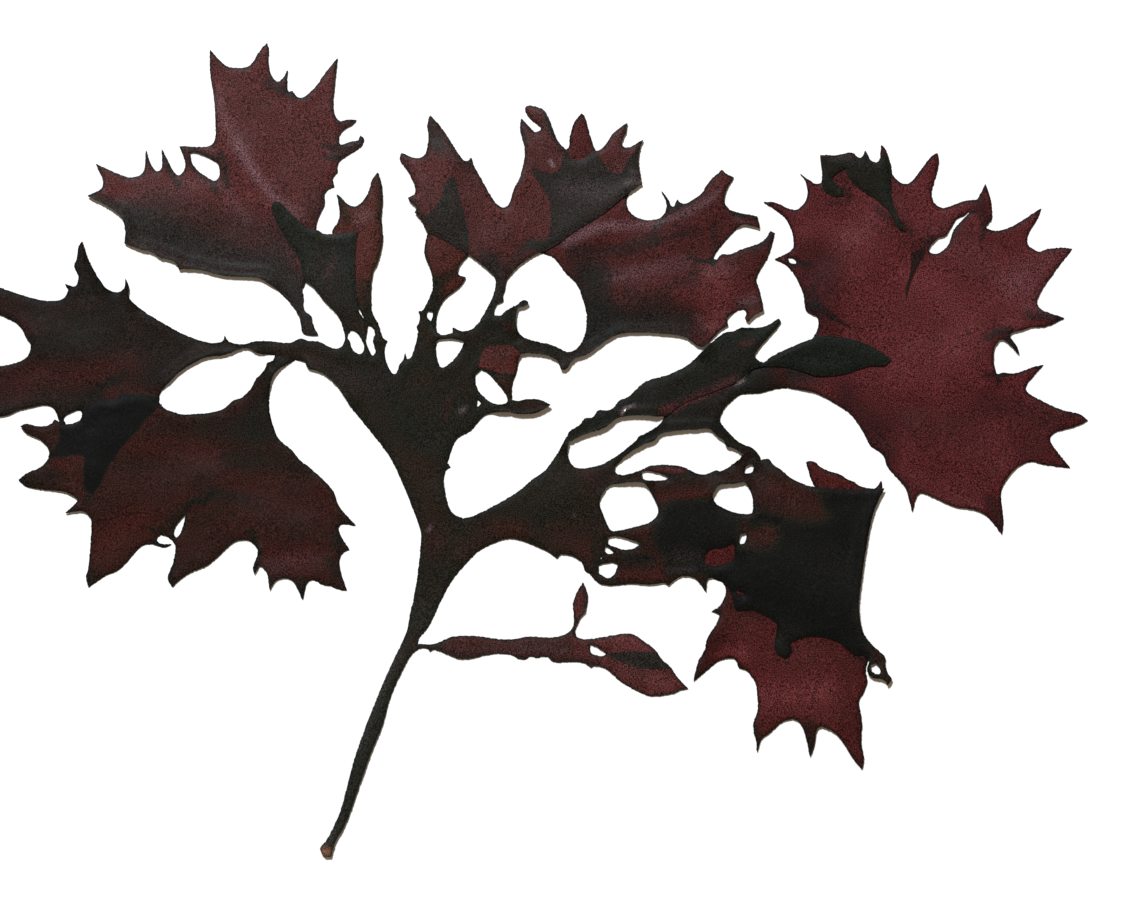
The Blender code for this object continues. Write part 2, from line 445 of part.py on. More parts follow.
# A short pointed blade beside it, half covered by the next.
add_sheet("slim_pointed_blade", [
    (10.4, 132.7, CUT), (9.7, 134.4), (8.7, 136.2), (7.4, 138.6), (5.5, 143), (3.8, 147.5),
    (2.6, 151.5), (1.9, 155.4), (3.1, 157.3), (3.7, 158.9), (3.6, 161.5), (3, 164.6, TIP),
    (4.1, 163.75), (5.4, 162.3), (7, 161.5), (8.6, 162), (10.2, 163.8), (11.15, 165.7),
    (11.8, 168), (13.1, 170, TIP), (13.9, 168), (14.3, 165), (14.3, 162), (14, 158),
    (14.4, 155), (14.2, 152), (13.7, 149.5), (12.9, 147.1), (11.95, 145.2), (11.8, 142.6),
    (11.6, 139.4), (11.5, 136.2), (12.1, 134.3), (13.3, 132.2, CUT)],
    colour=(78, 43, 40))

add_sheet("slim_left_blade", [
    (4.5, 131.5, CUT), (4.3, 132.3), (3.1, 134.6), (1.5, 136.5), (-0.06, 138), (-1.35, 139.7),
    (-2.95, 141.6), (-4.55, 142.7, TIP), (-5.35, 143.6), (-5.8, 146.4), (-6.8, 149.3),
    (-8.4, 151.6), (-10, 154.5), (-11.3, 156.7), (-12.6, 159), (-13.2, 161.5, TIP),
    (-12.6, 162.6), (-11.3, 162.5), (-10, 161.2), (-8.1, 159.3), (-5.5, 157.2), (-3.9, 155.9),
    (-2.1, 155.6), (-1, 155.1), (0.26, 154.6), (3, 154.7), (8.1, 155.3, TIP), (7.6, 152.2),
    (7.5, 149), (7.6, 145.8), (7.6, 142.6), (7.95, 139.4), (8.2, 136.2), (9.2, 134),
    (10.4, 132.7, CUT)],
    colour=(66, 44, 40), over=["upper_left_blade", "slim_pointed_blade"], root=(7.5, 132.1))

# --- The blades of the top centre ------------------------------------------------------------

# The narrow blade behind the centre blade, with the left side of the great net's first gap.
add_sheet("back_centre_blade", [
    (31.7, 168.9, TIP), (30.7, 168), (29.7, 166.3), (29.4, 164.1), (27.8, 161.5), (26.5, 160),
    (24.6, 159), (25.6, 155.5), (25.5, 153.9), (25.1, 152), (25.1, 149.1), (25.9, 146.9),
    (26.7, 145), (27, 142.4), (27, 140.8), (26.5, 139.4), (25.6, 137.6), (24.6, 135.7),
    (23.4, 135.3, TIP), (23.8, 134.4), (23.5, 132.3), (23, 131.6, TIP), (23.3, 130.2, CUT),
    (28, 130.1, CUT), (27.7, 131.5), (27.8, 133.75), (28.6, 136.6), (30.1, 138.7), (32, 140.3),
    (34.2, 142.2), (35.1, 143.9, TIP), (33.6, 144.3), (33.1, 145), (33.3, 146.25),
    (34.2, 147.85), (35.8, 149.5), (35.8, 153.6), (35.5, 156.2), (34.9, 158.4), (34.6, 160.3),
    (33.75, 163.1), (33.1, 165.4), (33, 167.6)],
    colour=(66, 38, 36), holes=[
        [(26.5, 135.8), (27, 135.3), (26.9, 133.75), (26.4, 132.85), (25.6, 133.75),
         (25.3, 134.7), (25.7, 135.5)]])

# The broad ridged blade of the top right, which passes under the centre blade.
add_sheet("top_right_blade", [
    (53.9, 127.55, CUT), (56.4, 127), (58.3, 126.2), (59.8, 125.4), (60.9, 125.1), (62, 125.4),
    (63.3, 126.2), (64.4, 128), (65.2, 130.2), (65.5, 132.8), (65.4, 135.35), (64.7, 137.9),
    (63.9, 140.2), (63.1, 142.1), (61.8, 143.5), (60.2, 145.1), (58.6, 147.4), (57.3, 148.8),
    (55.7, 149.6), (54.4, 149.9), (52.6, 150.8), (51.1, 151.5), (50.6, 153, TIP), (53.8, 152.7),
    (55.7, 153.5), (56.5, 156), (56.5, 160.3), (56.4, 162.5), (55.6, 164.4), (54.3, 166.7),
    (52.4, 169.6), (51.7, 171.2, TIP), (55.3, 169.9), (57.8, 169.9), (58.8, 171.2),
    (59.4, 172.8), (60.2, 175.6), (61, 176.3), (61.2, 178.2), (62, 180.8), (62.6, 183),
    (64.2, 184.8, TIP), (64.7, 184.3), (65.5, 181.7), (66.2, 179.2), (67, 176.9), (68.4, 174),
    (69.4, 172.4), (71, 170.4), (72.6, 169.6), (74, 169.7), (74.8, 171.2), (75.8, 173.1),
    (78.2, 176.2, TIP), (78.1, 173), (78.5, 168.5), (77.8, 166.6), (76.7, 165.7), (75.8, 164.6),
    (75.2, 163.1), (75.4, 161.5), (76.1, 160.3), (77.4, 159.1), (79, 158.4), (80.9, 158.1),
    (82.8, 158.3), (84.3, 159), (85.2, 160.4), (85.5, 162.2), (84.1, 165.5, TIP), (85.9, 163),
    (86.3, 161.9), (87.1, 161.4), (88.1, 163.3, TIP), (88.75, 162.5), (89.9, 162.2),
    (91.2, 162.8), (94.1, 164.7), (95.4, 166.8), (97, 168.7), (99.2, 170.7, TIP), (100, 169.9),
    (102.1, 168.8, TIP), (100.35, 166), (99.8, 164.4), (99.7, 162.9), (100.5, 161.3),
    (101.6, 160.5), (103.7, 160), (107.95, 159.1, TIP), (108.4, 157.6), (108.5, 156.2, TIP),
    (106.6, 156.7), (105.3, 157.15), (104, 157), (102.8, 155.9), (101.2, 154.3), (99.9, 153),
    (98.6, 151.4), (97.5, 149.8), (97.05, 148.5), (97.95, 148.2), (99.2, 149.55),
    (100.8, 149.5), (102.8, 150.1), (104.7, 151), (108.8, 152.4), (110.3, 153.6),
    (111.4, 155.4, TIP), (112.4, 154.9, TIP), (111.7, 152.7), (110.4, 148.5), (109.2, 146.6),
    (108.2, 144.8), (107.7, 143.2), (108.4, 141.3), (109.5, 135.7, TIP), (108.4, 135.1),
    (107.1, 134.3), (105.7, 132.8, TIP), (105.1, 133.5), (105.4, 134.9), (104.8, 135.9),
    (103.6, 135.8), (101.7, 134.7), (100.4, 133.6), (100.6, 131.8, TIP), (99.4, 131.2),
    (97.8, 129.9), (96.2, 128.1), (94.3, 126.6, TIP), (92.6, 127.2), (91, 128.5), (89.4, 129.2),
    (87.2, 129.65), (81.7, 130), (76.6, 130.2), (74.4, 129.9), (72.4, 129.4), (70.2, 128.1),
    (66, 125.1), (64.4, 124.3), (62.5, 123.7), (61.4, 122.7), (60.1, 120.9, TIP),
    (59.1, 120.9, TIP), (58.3, 122.9), (56.7, 124), (55.1, 124.6), (53.6, 124.8, CUT)],
    colour=(56, 36, 31))

# The centre blade has two broad lobes and lies over both of its neighbours.
add_sheet("centre_blade", [
    (38.7, 132.8, CUT), (39.7, 134.7), (40.9, 136.6), (42.1, 139.2), (42.6, 141.1),
    (42.8, 142.7), (42.6, 143.7), (41.6, 145), (40, 146.4), (38.4, 147.9), (35.8, 149.5),
    (33, 151.4), (30.4, 152.8), (27.8, 154.4), (25.5, 155.5), (24.3, 158), (22.5, 160.1, TIP),
    (23, 161.4), (21.7, 162.5), (20.8, 163.7, TIP), (22.5, 164.6), (22.7, 166), (22.1, 167.8),
    (21.1, 170), (18.8, 173.4), (19.2, 174.9, TIP), (20.8, 174.2), (22.7, 173.6), (24.3, 173.9),
    (25.3, 174.8), (25.7, 176.9), (26, 179.8), (25.7, 182), (26.3, 184.3, TIP), (28.5, 182),
    (30.4, 179.2), (32.3, 176.3), (33.9, 173.9), (34.7, 173), (35.7, 172.9), (36.6, 173.7, TIP),
    (36.8, 172.6), (37.6, 171), (39, 168.4), (40.6, 165.7), (41.9, 163.8), (43, 162),
    (44.6, 161.2), (45.9, 162), (46.6, 163.8), (47.7, 166.7), (48.7, 168.6), (49.3, 171.2),
    (49.9, 173.4), (50, 176), (49.5, 178.2), (48.9, 180.8), (49.1, 183.5, TIP), (51.2, 181.3),
    (52.7, 180.1), (54.2, 181.1), (53.3, 182.2), (51.5, 183.5), (50.4, 184.9), (50.1, 186.1),
    (50.6, 186.7), (51.9, 186.5), (54.6, 185.6, TIP), (56.7, 181.1), (58.1, 178), (59.2, 176.6),
    (60.2, 175.6), (61.3, 173.7), (62.9, 173.1), (64.9, 173.6), (67.6, 175.5), (68.4, 175.5),
    (69.7, 176.4), (71.1, 178.4), (72.6, 180.3), (75.5, 182.4, TIP), (75.3, 180.8),
    (74.5, 178.8), (74.1, 177.2), (74.8, 176.3), (76.1, 176.3), (79.5, 178.2, TIP),
    (78.9, 176.9), (78.6, 175), (78.3, 172.8), (78.7, 170.8), (79.1, 167.1, TIP), (75.1, 164.6),
    (71.9, 161.7), (69, 159.6), (63.7, 156.35), (60.2, 154), (58.3, 152.5), (55.7, 151),
    (53.1, 149.9), (50.3, 148.3), (48.65, 147.05), (47, 145.4), (45.8, 143.7), (45.1, 142.4),
    (45, 141.1), (44.4, 139.2), (44.5, 137.9), (42.9, 137.1), (42.3, 135.7), (42.2, 134.2, CUT)],
    colour=(87, 51, 54), over=["back_centre_blade", "top_right_blade"], root=(40.4, 133.5))

# A small leaf on the palm's right shoulder, its tip free.
add_sheet("small_leaf", [
    (46.25, 110.3, CUT), (47.7, 109.9), (49.8, 109.8), (51.9, 109.9), (53.5, 110.4),
    (55, 111.2), (56.3, 112, TIP), (55.4, 112.5), (54, 113.1), (52.3, 113.4), (50.4, 113.35),
    (49, 113.1), (48.1, 112.9), (46.6, 113.3, CUT)],
    colour=(58, 36, 33))

# --- The blades of the right -----------------------------------------------------------------

# The right blade's stalk leaves the palm between two gaps. A strand runs from it down to the
# lower right cluster.
add_sheet("right_stalk", [
    (72.6, 96.6, CUT), (71.3, 98.2, CUT), (72.9, 99.1), (74.6, 100.4), (77.5, 102.8),
    (78.6, 104.1, TIP), (79.8, 104.6), (82.9, 106.7), (84.2, 107.6), (85.1, 109.6),
    (86.9, 111.7), (89.6, 113.4), (96.7, 116.4), (100.6, 117.9), (102, 117.7), (102.9, 117.4),
    (104.7, 118.2), (106.7, 120.9), (110, 122), (115, 124.6, CUT), (115.6, 116.3, CUT),
    (113.3, 116.2), (110.8, 115.7), (108.4, 115), (104.2, 114.7), (102.9, 114.1), (100.8, 112),
    (99.6, 111), (98.9, 109.5), (98.6, 108.25), (99.2, 107), (101.7, 104.3), (102.9, 103),
    (104.6, 102), (106.7, 101.2), (108.5, 99.3), (109, 98.25, CUT), (104.6, 99.7, CUT),
    (103.1, 100.75), (101.9, 101.4), (100.3, 101.8), (99.9, 103), (98.1, 104.3), (96.25, 106),
    (95, 106.2), (92.5, 105.9), (90.4, 105.9), (88.4, 105.5), (85, 105), (83.75, 104.8),
    (82.6, 103.5), (80, 102.4), (76.7, 100.5), (75.2, 99.5), (73.75, 97.8)],
    colour=(39, 36, 31))

# The big blade at the far right.
add_sheet("right_blade", [
    (115.6, 116.3, CUT), (118.1, 115.9), (121.7, 115.3), (124.2, 114.4), (126.5, 113),
    (129, 111.5), (131.9, 109.3), (133.5, 106.7), (135.4, 103.8), (136.4, 101.9),
    (138.3, 100.6), (139.8, 99.2), (140.4, 97.1), (141.9, 95.2), (145, 91.5), (145.8, 89.4),
    (146.8, 85.4, TIP), (147.2, 86.9), (148.2, 89.8), (149.5, 90), (150.8, 89.4), (155.9, 87.3),
    (157.8, 86.5), (160.4, 86.2), (162.9, 85.6), (165.2, 84.5), (169.2, 79.6, TIP),
    (169.5, 82.7), (169.2, 85.9), (168.9, 88.5), (168.9, 90.4), (170, 93), (171.3, 94.9),
    (172.9, 96.5), (174.8, 97.4), (176.4, 97.9), (179, 97.3), (184.1, 96.5), (186.2, 96.2, TIP),
    (184.4, 98.7), (182.8, 100.6), (181.4, 102.6), (181.2, 103.8), (182.2, 105), (184.4, 105.8),
    (188.6, 107.1), (190.6, 108.2, TIP), (188.6, 109.6), (185.4, 110.3), (182.2, 111.5),
    (178.7, 113.3), (175.8, 114.9), (175.1, 115.9), (175.3, 117), (176.7, 118.9),
    (179.5, 122, TIP), (176.4, 121.2), (173.8, 120.1), (171.3, 119.8), (169.7, 120),
    (167.9, 119.7), (167.4, 120.8), (167, 123.4), (167.1, 126), (167.9, 127.7), (169, 128.4),
    (170.3, 127.9), (171.3, 126.9), (173.4, 124.8, TIP), (173, 126.3), (171.1, 129.2),
    (171.6, 130.1), (174.5, 130.8), (176.1, 131.4), (180.3, 131.7), (184.7, 133.7, TIP),
    (182.5, 134.6), (179.3, 135.6), (178.3, 136.5), (177.9, 138), (178.7, 140.1),
    (180.3, 142.6), (184.1, 147.4), (186.7, 151, TIP), (184.1, 151.2), (180.3, 150.8),
    (178.5, 150.2), (177.1, 150.8), (175.8, 151.8), (175.4, 153.5), (176.25, 155.8),
    (177.7, 158), (179, 161.05, TIP), (176.4, 159.3), (174.2, 158), (171.9, 156.6),
    (170, 155.8), (167.1, 155.5), (165.1, 156.4), (166.5, 158.4, TIP), (166.4, 161.2),
    (166.2, 163.8), (165.1, 167.2, TIP), (164.1, 165.1), (162.9, 163.3), (160.7, 163.1),
    (158.5, 162.4), (154.6, 161.2), (153, 161.7), (151.9, 163.1), (151.6, 165.1),
    (152.2, 167.6), (153, 170.2), (153.3, 173.4), (153, 174.9, TIP), (151.8, 174.2),
    (150.2, 172.4), (148.6, 170.35), (147, 168.1), (145.7, 167.2), (144.1, 167.4),
    (142.8, 168.3), (141.7, 169.9), (141.4, 172), (139.9, 176.1), (139.1, 176.9, TIP),
    (138.8, 174.4), (138.5, 172.9), (137.7, 172.6), (136.4, 173.1), (135.1, 175.5, TIP),
    (134.5, 174.2), (133.7, 173.7), (131.6, 175, TIP), (128.1, 174.4), (123.85, 174.4, TIP),
    (124.1, 170.8), (124.2, 167.6), (122.6, 167.2), (121.3, 168.1), (118.8, 169.7, TIP),
    (119.9, 168.6), (120.4, 167), (120.7, 164.7), (120.2, 163), (119.3, 161.7), (117.8, 160.7),
    (116.5, 160.8), (112.05, 162.6), (109.7, 162.7, TIP), (111.7, 161.5), (114.9, 159),
    (116, 157.4), (116.9, 155.1), (117.2, 152.9), (117.2, 151.6), (116.5, 150.5),
    (114.9, 149.5), (112.5, 148.4, TIP), (114.9, 147.3), (116.9, 145.35), (117.8, 143.6),
    (119.7, 139.6), (120.4, 135.6, TIP), (121.9, 134.8), (123.2, 133.9), (123.4, 132.7),
    (123.2, 130.9), (121.7, 128.3), (118.5, 126.1), (115, 124.6, CUT)],
    colour=(72, 37, 34), holes=[
        [(115.2, 148.4), (115.9, 148.8), (117.3, 148.5), (117.9, 147.75), (117.7, 147.2),
         (116.2, 147.5)],
        [(161.5, 160.3), (160.7, 160.3), (159.7, 159.4), (158.1, 158.7), (156.9, 157.2),
         (156.1, 155.6), (154.8, 154.2), (153.5, 153.9), (152.4, 153.2), (151.25, 151.8),
         (150.8, 150.6), (151.4, 149.9), (153, 149.7), (154.5, 150.5), (155.6, 151.6),
         (156.4, 153.2), (157.2, 155.6), (159.4, 158.2), (161, 159.3)]])

# The flap of the right blade's top margin that is folded over on it.
add_sheet("right_blade_fold", [
    (124.3, 173.9, TIP), (128.1, 173.9), (131.6, 174.4), (133.7, 173.2), (135.1, 174.6),
    (136.4, 172.6), (138.2, 172.2), (139.1, 173.8), (139.7, 175.4, TIP), (140.9, 172),
    (141.4, 168.3), (141.4, 165.4), (141.9, 162.8), (142.7, 160.3), (145, 155.5, TIP),
    (143.5, 156.1), (142.2, 159), (139.9, 161.5), (137.7, 163.5), (135.1, 165.2), (132.6, 167),
    (131, 168.9), (130, 171.4, TIP), (126.5, 168.5), (129.4, 165.9, TIP), (129.7, 164.1, TIP),
    (126.2, 164.7), (124.5, 166.2), (124.5, 170.8)],
    colour=(40, 36, 31), over=["right_blade"])

# The narrow dark blade with its long stalk. Its second tip lies over the right blade.
add_sheet("dark_blade", [
    (60.9, 102.8, CUT), (60.5, 104.1, CUT), (60.8, 104.7), (62.1, 106.1), (63.5, 106.8),
    (65.1, 108.6, TIP), (66.9, 108.8), (68.5, 110.6, TIP), (71, 110.6), (72.1, 111.2),
    (73.75, 113.1, TIP), (75.4, 113.7), (77.3, 115.1), (79.9, 117.6), (81.4, 118.1),
    (85.9, 119.5), (90.4, 121.7), (93.6, 124.5), (96.2, 127.05), (99.1, 129.1), (100.1, 130),
    (102, 130.3), (103.6, 131.1), (108.7, 131.3), (110.8, 131.9), (113.4, 133.5, TIP),
    (113.85, 132.7), (112.6, 131.2), (109.4, 127.4), (107.6, 125.1), (107.3, 124.2),
    (108.1, 123.1), (109, 122.6), (110, 122.7), (111.3, 123.85), (113.2, 124.7), (117.7, 126.6),
    (121.7, 128.3), (123.6, 129.1), (126.2, 129.1), (129.4, 128.8), (132.6, 128),
    (135.8, 126.9), (138.7, 125.3), (141.4, 123.4, TIP), (139.9, 122.1), (135.8, 121.8),
    (132.6, 120.8), (129.4, 119.8), (126.2, 119.4), (123, 119.4), (120.4, 120.2),
    (117.5, 121.1), (112, 121.8), (107, 121.2), (104.9, 119.2), (103.4, 118.1), (101, 117.2),
    (97, 115.6), (90, 112.7), (87.2, 111), (85.3, 109.4), (82.9, 109.5), (77.9, 109.5),
    (73.75, 109), (72.5, 108.5), (71.5, 107.6), (69.2, 106.1), (67.1, 105.5), (65, 104.8),
    (62.1, 103.4)],
    colour=(30, 30, 27), over=["right_blade", "right_stalk"], root=(60.7, 103.5), holes=[
        [(74.1, 109.9), (74.3, 111), (75.4, 111.8), (76.9, 112), (75.6, 111.2), (75, 110.2)]])

# The lower right cluster: a redder sheet behind, and a browner one in front that covers most
# of it and carries the cluster's net of gaps.
add_sheet("lower_right_back", [
    (120.3, 97.6, TIP), (121.3, 97.9), (122.6, 97.5), (124.5, 96), (126.7, 95.1), (129, 94.4),
    (130.6, 93.3), (132.2, 92.7), (133.5, 91.7), (135.4, 91.2), (137.6, 91.1), (139, 93, TIP),
    (139.2, 91.4), (138.0, 88.5), (136.9, 86), (136, 83), (135.3, 80), (134.2, 74.5),
    (133.5, 69.5), (132.9, 65.3), (132.6, 62.5), (132.7, 60), (133, 57.5), (133.7, 55),
    (135.2, 52), (136.2, 49.8), (135.5, 48), (135.1, 46), (135.3, 43.8), (135.4, 42.2, TIP),
    (134.8, 41), (134, 39.2), (133.4, 38.1), (133.4, 36.6), (134.1, 32.5), (133.9, 29.9),
    (134, 27), (134.6, 22.85), (134.2, 21.1, TIP), (132.6, 23), (131.4, 24.8), (128.1, 29.6),
    (126.2, 30.9), (124.2, 31.7), (123.1, 31.3), (122.6, 29.9), (122.3, 27.3), (121.3, 24.1, TIP),
    (120.5, 27.7), (119.9, 30.2), (119.1, 32), (117.8, 33.4), (115.3, 33.3), (114, 32.7),
    (110.8, 29.8), (109.2, 28.7), (108, 25.4, TIP), (107.95, 27.4), (107.1, 31.9),
    (107.95, 34.5), (108.3, 36.4), (107.95, 41.2), (107.5, 43), (106.3, 44.8), (105.1, 45.9),
    (103.5, 46.4), (103, 47.85), (102.2, 48.75), (100.3, 48.65), (98.65, 48.2), (97.05, 46.9),
    (95.1, 45.3), (92.2, 43, TIP), (92.9, 46.25), (93.85, 48.8), (95, 50.7), (95.45, 53),
    (97.05, 55.9), (98.3, 58.1), (98.6, 59.6), (96.7, 60.4, TIP), (98.4, 61.4), (99.5, 62.9),
    (100.2, 64.5), (100.2, 66.2), (99.3, 67.8), (97.9, 68.3), (96, 69.4), (92, 70.2),
    (89, 70.2), (86.7, 69.4), (85.3, 70.2), (85, 73), (83, 76.5), (82, 79), (81.8, 81),
    (83.6, 84), (85.5, 87.2), (88, 87.8), (92, 88), (96.5, 88.2), (97.6, 87), (100.8, 85.3),
    (102.5, 84.7), (104.3, 84.4), (104.2, 83.3), (103.1, 81.2), (102.6, 79), (103.6, 76.7),
    (106, 75.7), (111, 75.9), (113.3, 78.5), (113, 81.6), (109, 82.4), (106.8, 81), (106.2, 83),
    (106.9, 84.3), (112, 84.2), (118, 82.7), (124, 82.5), (126.7, 84.2, TIP), (125, 86.5),
    (123.8, 90), (122.4, 91.7), (121, 95.2)],
    colour=(77, 38, 35))

add_sheet("lower_right_front", [
    (66.15, 69.9, CUT), (66.6, 80, CUT), (67.2, 90.4, CUT), (72.35, 95.5, CUT), (72.7, 94.9),
    (73.75, 94.4), (76.25, 94.9), (78.5, 95.4), (81.25, 96.7), (85, 96.7), (88.3, 96.7),
    (89.8, 96.3), (92.9, 94.8), (94.8, 94.5), (97.3, 95.3), (98.1, 95.6), (98.75, 95.3),
    (101.25, 96.7), (103.75, 98.5), (104.6, 99.7, CUT), (109, 98.25, CUT), (110.9, 98.4, TIP),
    (111.7, 97.3), (114.2, 95.5), (116.15, 93.8), (118.1, 92.8), (121.3, 91.6), (122.5, 91.5),
    (128, 91), (134, 90.7), (139.7, 91.1, TIP), (138.6, 89.1), (137.6, 86.9), (136.7, 84),
    (135.4, 78.2), (134.2, 69.7), (133.6, 65.5), (133.3, 62.7), (133.4, 60), (133.7, 57.8),
    (134.3, 55.5), (135.8, 53), (137.7, 51.1), (140, 48.65, TIP), (139.9, 47.5), (140.5, 45),
    (141.6, 43.5, TIP), (140.6, 42.1, TIP), (140.1, 43), (139, 43.6), (137.4, 43.75),
    (136.1, 44.5), (135.5, 46.2), (136, 48.3), (134.5, 49.6), (132.2, 49.8), (130, 51.7),
    (127.4, 53.3), (124.2, 54.1), (121, 54.3), (119.1, 53.6), (116.4, 52.7), (116.5, 51.1),
    (115.9, 49.5), (114.8, 48.8, TIP), (113.7, 49.5), (112.5, 51.1), (112.7, 53.6),
    (113, 56.8), (112.4, 58.2), (109.9, 59.6), (106.7, 60.9), (102.8, 60.9), (101.9, 63.6),
    (100.9, 66), (100.4, 67.3), (99.5, 68.3), (97.9, 68.8), (96, 68.8), (95.5, 68.3),
    (95.2, 65.5, TIP), (94.4, 66.6), (93.5, 67.9), (92.3, 68.9), (90.8, 69.3), (89.4, 69.25),
    (87.9, 68.7), (85.8, 67, TIP), (85, 67.6), (82.9, 67.3), (80.8, 67.2), (77.9, 67.4),
    (74.6, 67.3), (71.1, 67, TIP), (70.4, 67.2), (68.5, 67.6), (67.3, 68.7)],
    colour=(54, 36, 30), over=["lower_right_back"], holes=[
        [(78.2, 94.8), (80.2, 95.6), (81.7, 95.4), (83.3, 95), (85, 94.5), (86, 93.7),
         (85.4, 93.2), (83.75, 93.25), (80.2, 93.15), (79, 93.9)],
        [(68.75, 90.1), (69.6, 90.9), (70.8, 91.7), (72.5, 92.2), (75.8, 92.8), (79.2, 92.7),
         (80.1, 92.3), (81, 91), (82.8, 87.6), (83.3, 86), (83.3, 84.8), (82.7, 83.8),
         (81.5, 82.8), (79.8, 82.1), (76.7, 81.4), (73.3, 80.5), (71.9, 80.4), (71.25, 80.75),
         (70.6, 81.8), (69.4, 84.7), (68.9, 86.2), (68.5, 87.6)],
        [(70.4, 78), (71, 79), (72.1, 79.3), (75.6, 78.7), (77.3, 78.1), (78.75, 77.4),
         (78.1, 76.5), (76.9, 76), (75.4, 75.7), (74, 75.9), (72.5, 76.4), (70.8, 77.1)],
        [(69.5, 76.2), (70.1, 76.75), (71, 76.4), (72.3, 75.2), (71.7, 74.7), (70.6, 74.75),
         (69.8, 75.4)],
        [(68.5, 73.8), (68.9, 74.35), (69.3, 73.8), (68.9, 73.25)],
        [(67.7, 71), (68.5, 72.1), (70, 72.5), (71.5, 72.7), (72.7, 72.5), (73.2, 72),
         (72.9, 70.5), (72.1, 69.3), (70.7, 68.6), (69.6, 69.1), (68.3, 69.9)],
        [(96.7, 88.5), (96.9, 89.7), (97.5, 91), (98.5, 92), (99.6, 92.3), (102.1, 92.4),
         (103.75, 92.7), (105, 92.8), (105.8, 91.6), (106.6, 90.1), (107, 88.25), (107, 86.4),
         (106.7, 84.9), (104.2, 84.7), (102.5, 85), (100.8, 85.6), (99.2, 86.3), (97.7, 87.3)],
        [(104.3, 95.5), (105.8, 97.1), (107.1, 97.1), (107, 95.3), (105.8, 94.8), (104.8, 94.9)],
        [(102.9, 78.7), (104, 79.7), (105.3, 80), (105.4, 78.9), (104.8, 77.4), (104, 77.1),
         (103.3, 77.8)],
        [(95.3, 71.4), (95.1, 75), (97, 76.3), (99.5, 76.4), (102, 77.5), (102.5, 75),
         (102, 73.2), (100.2, 72.3), (97, 71.7)],
        [(102, 66.2), (104.9, 65), (104.6, 64.2), (102.4, 65.3)],
        [(136.7, 47.8), (137.7, 47.5), (138.7, 46.4), (138.9, 45.3), (138.5, 44.7),
         (137.2, 44.9), (136.25, 45.9), (136.25, 47.05)]])

# The long narrow bladelet on the stipe's side, with its one small leaflet.
add_sheet("lateral_bladelet", [
    (23.4, 51, CUT), (24.8, 51.3), (25.9, 51), (26.3, 50.4, TIP), (26.9, 50.9), (28.7, 50.6),
    (33.5, 48.7), (36.7, 48.8), (39.9, 49.5), (45, 49.9), (47.6, 49.2), (48.5, 48.6, TIP),
    (50.4, 48.6), (51.1, 49.2), (53.2, 48.9), (54.3, 49.2), (55.9, 48.9), (57, 47.9, TIP),
    (61.7, 47.9), (63.6, 47.8), (65.5, 47.2), (66.5, 46.4, TIP), (67.1, 46.8), (69.55, 46.5),
    (70.8, 45.7), (73.7, 43.1), (76.9, 41.2), (80.1, 39.65), (82.05, 39.3), (87.2, 40),
    (88.8, 40.8), (90.7, 41.1, TIP), (89.1, 42.8), (87.8, 44.2), (86.2, 46.5), (84.3, 48.2),
    (82.4, 50.8), (81.1, 51.8), (79.5, 53), (76.9, 54.6), (75.3, 54.8), (71.15, 54.1),
    (66, 53.4), (64.1, 53.5), (62.8, 54.1), (62.5, 55), (63.1, 57.5), (64.1, 59.3),
    (65.1, 60.6), (65.5, 62.3), (65.5, 64.9), (64.5, 67.6, TIP), (63.8, 66.3), (62.5, 63.9),
    (62.1, 62), (62.3, 58.2), (61.9, 56.25), (60.9, 55.1), (59.3, 54.3), (57.05, 53.8),
    (54.8, 53.8), (51, 54), (48.7, 53.6), (44.4, 53.3), (37, 54.2), (31.9, 54), (29.9, 53.3),
    (27.4, 52.2), (25.1, 52.15), (23.2, 52.2, CUT)],
    colour=(58, 36, 33), holes=[
        [(65.5, 51.5), (66.3, 52.1), (67.6, 51.8), (69.2, 50.8), (70.35, 49.9), (69.55, 49.2),
         (67.9, 49.3), (66.3, 50.2)]])
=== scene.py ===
# %% [markdown]
# # An iridescent red seaweed
# This lesson dresses one plant: a leafy red seaweed, picked and laid flat. Its solids are thin
# sheets that are already cut to the plant's own margins and laid at their own heights. What is
# left to make is what tissue looks like: fine toothed edges, thin rims that lift off the paper,
# folds, and a colour that deepens where tissue lies double. We begin with the solids.

# %% Load the solids
import json
import math
import bpy
import numpy as np
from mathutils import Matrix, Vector
from mathutils.geometry import delaunay_2d_cdt


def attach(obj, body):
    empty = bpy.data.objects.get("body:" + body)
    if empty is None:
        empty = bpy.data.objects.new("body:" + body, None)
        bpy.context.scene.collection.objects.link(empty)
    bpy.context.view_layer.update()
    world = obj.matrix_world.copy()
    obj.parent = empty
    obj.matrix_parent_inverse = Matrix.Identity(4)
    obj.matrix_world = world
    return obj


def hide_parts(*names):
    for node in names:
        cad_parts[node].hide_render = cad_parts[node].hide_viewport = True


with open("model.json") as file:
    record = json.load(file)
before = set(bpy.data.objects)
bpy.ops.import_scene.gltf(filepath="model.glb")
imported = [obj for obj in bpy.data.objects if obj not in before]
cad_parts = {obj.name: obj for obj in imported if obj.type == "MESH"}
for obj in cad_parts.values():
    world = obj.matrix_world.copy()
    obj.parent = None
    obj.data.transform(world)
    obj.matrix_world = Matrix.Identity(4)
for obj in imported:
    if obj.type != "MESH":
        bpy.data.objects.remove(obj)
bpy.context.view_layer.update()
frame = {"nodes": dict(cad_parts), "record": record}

# %% [markdown]
# ## Measures
# All plan places below are millimetres from the stipe's foot, x to the right and y along the
# plant, because that is how one would measure it on a table. The part's origin is the middle of
# its box, so two numbers turn one into the other.

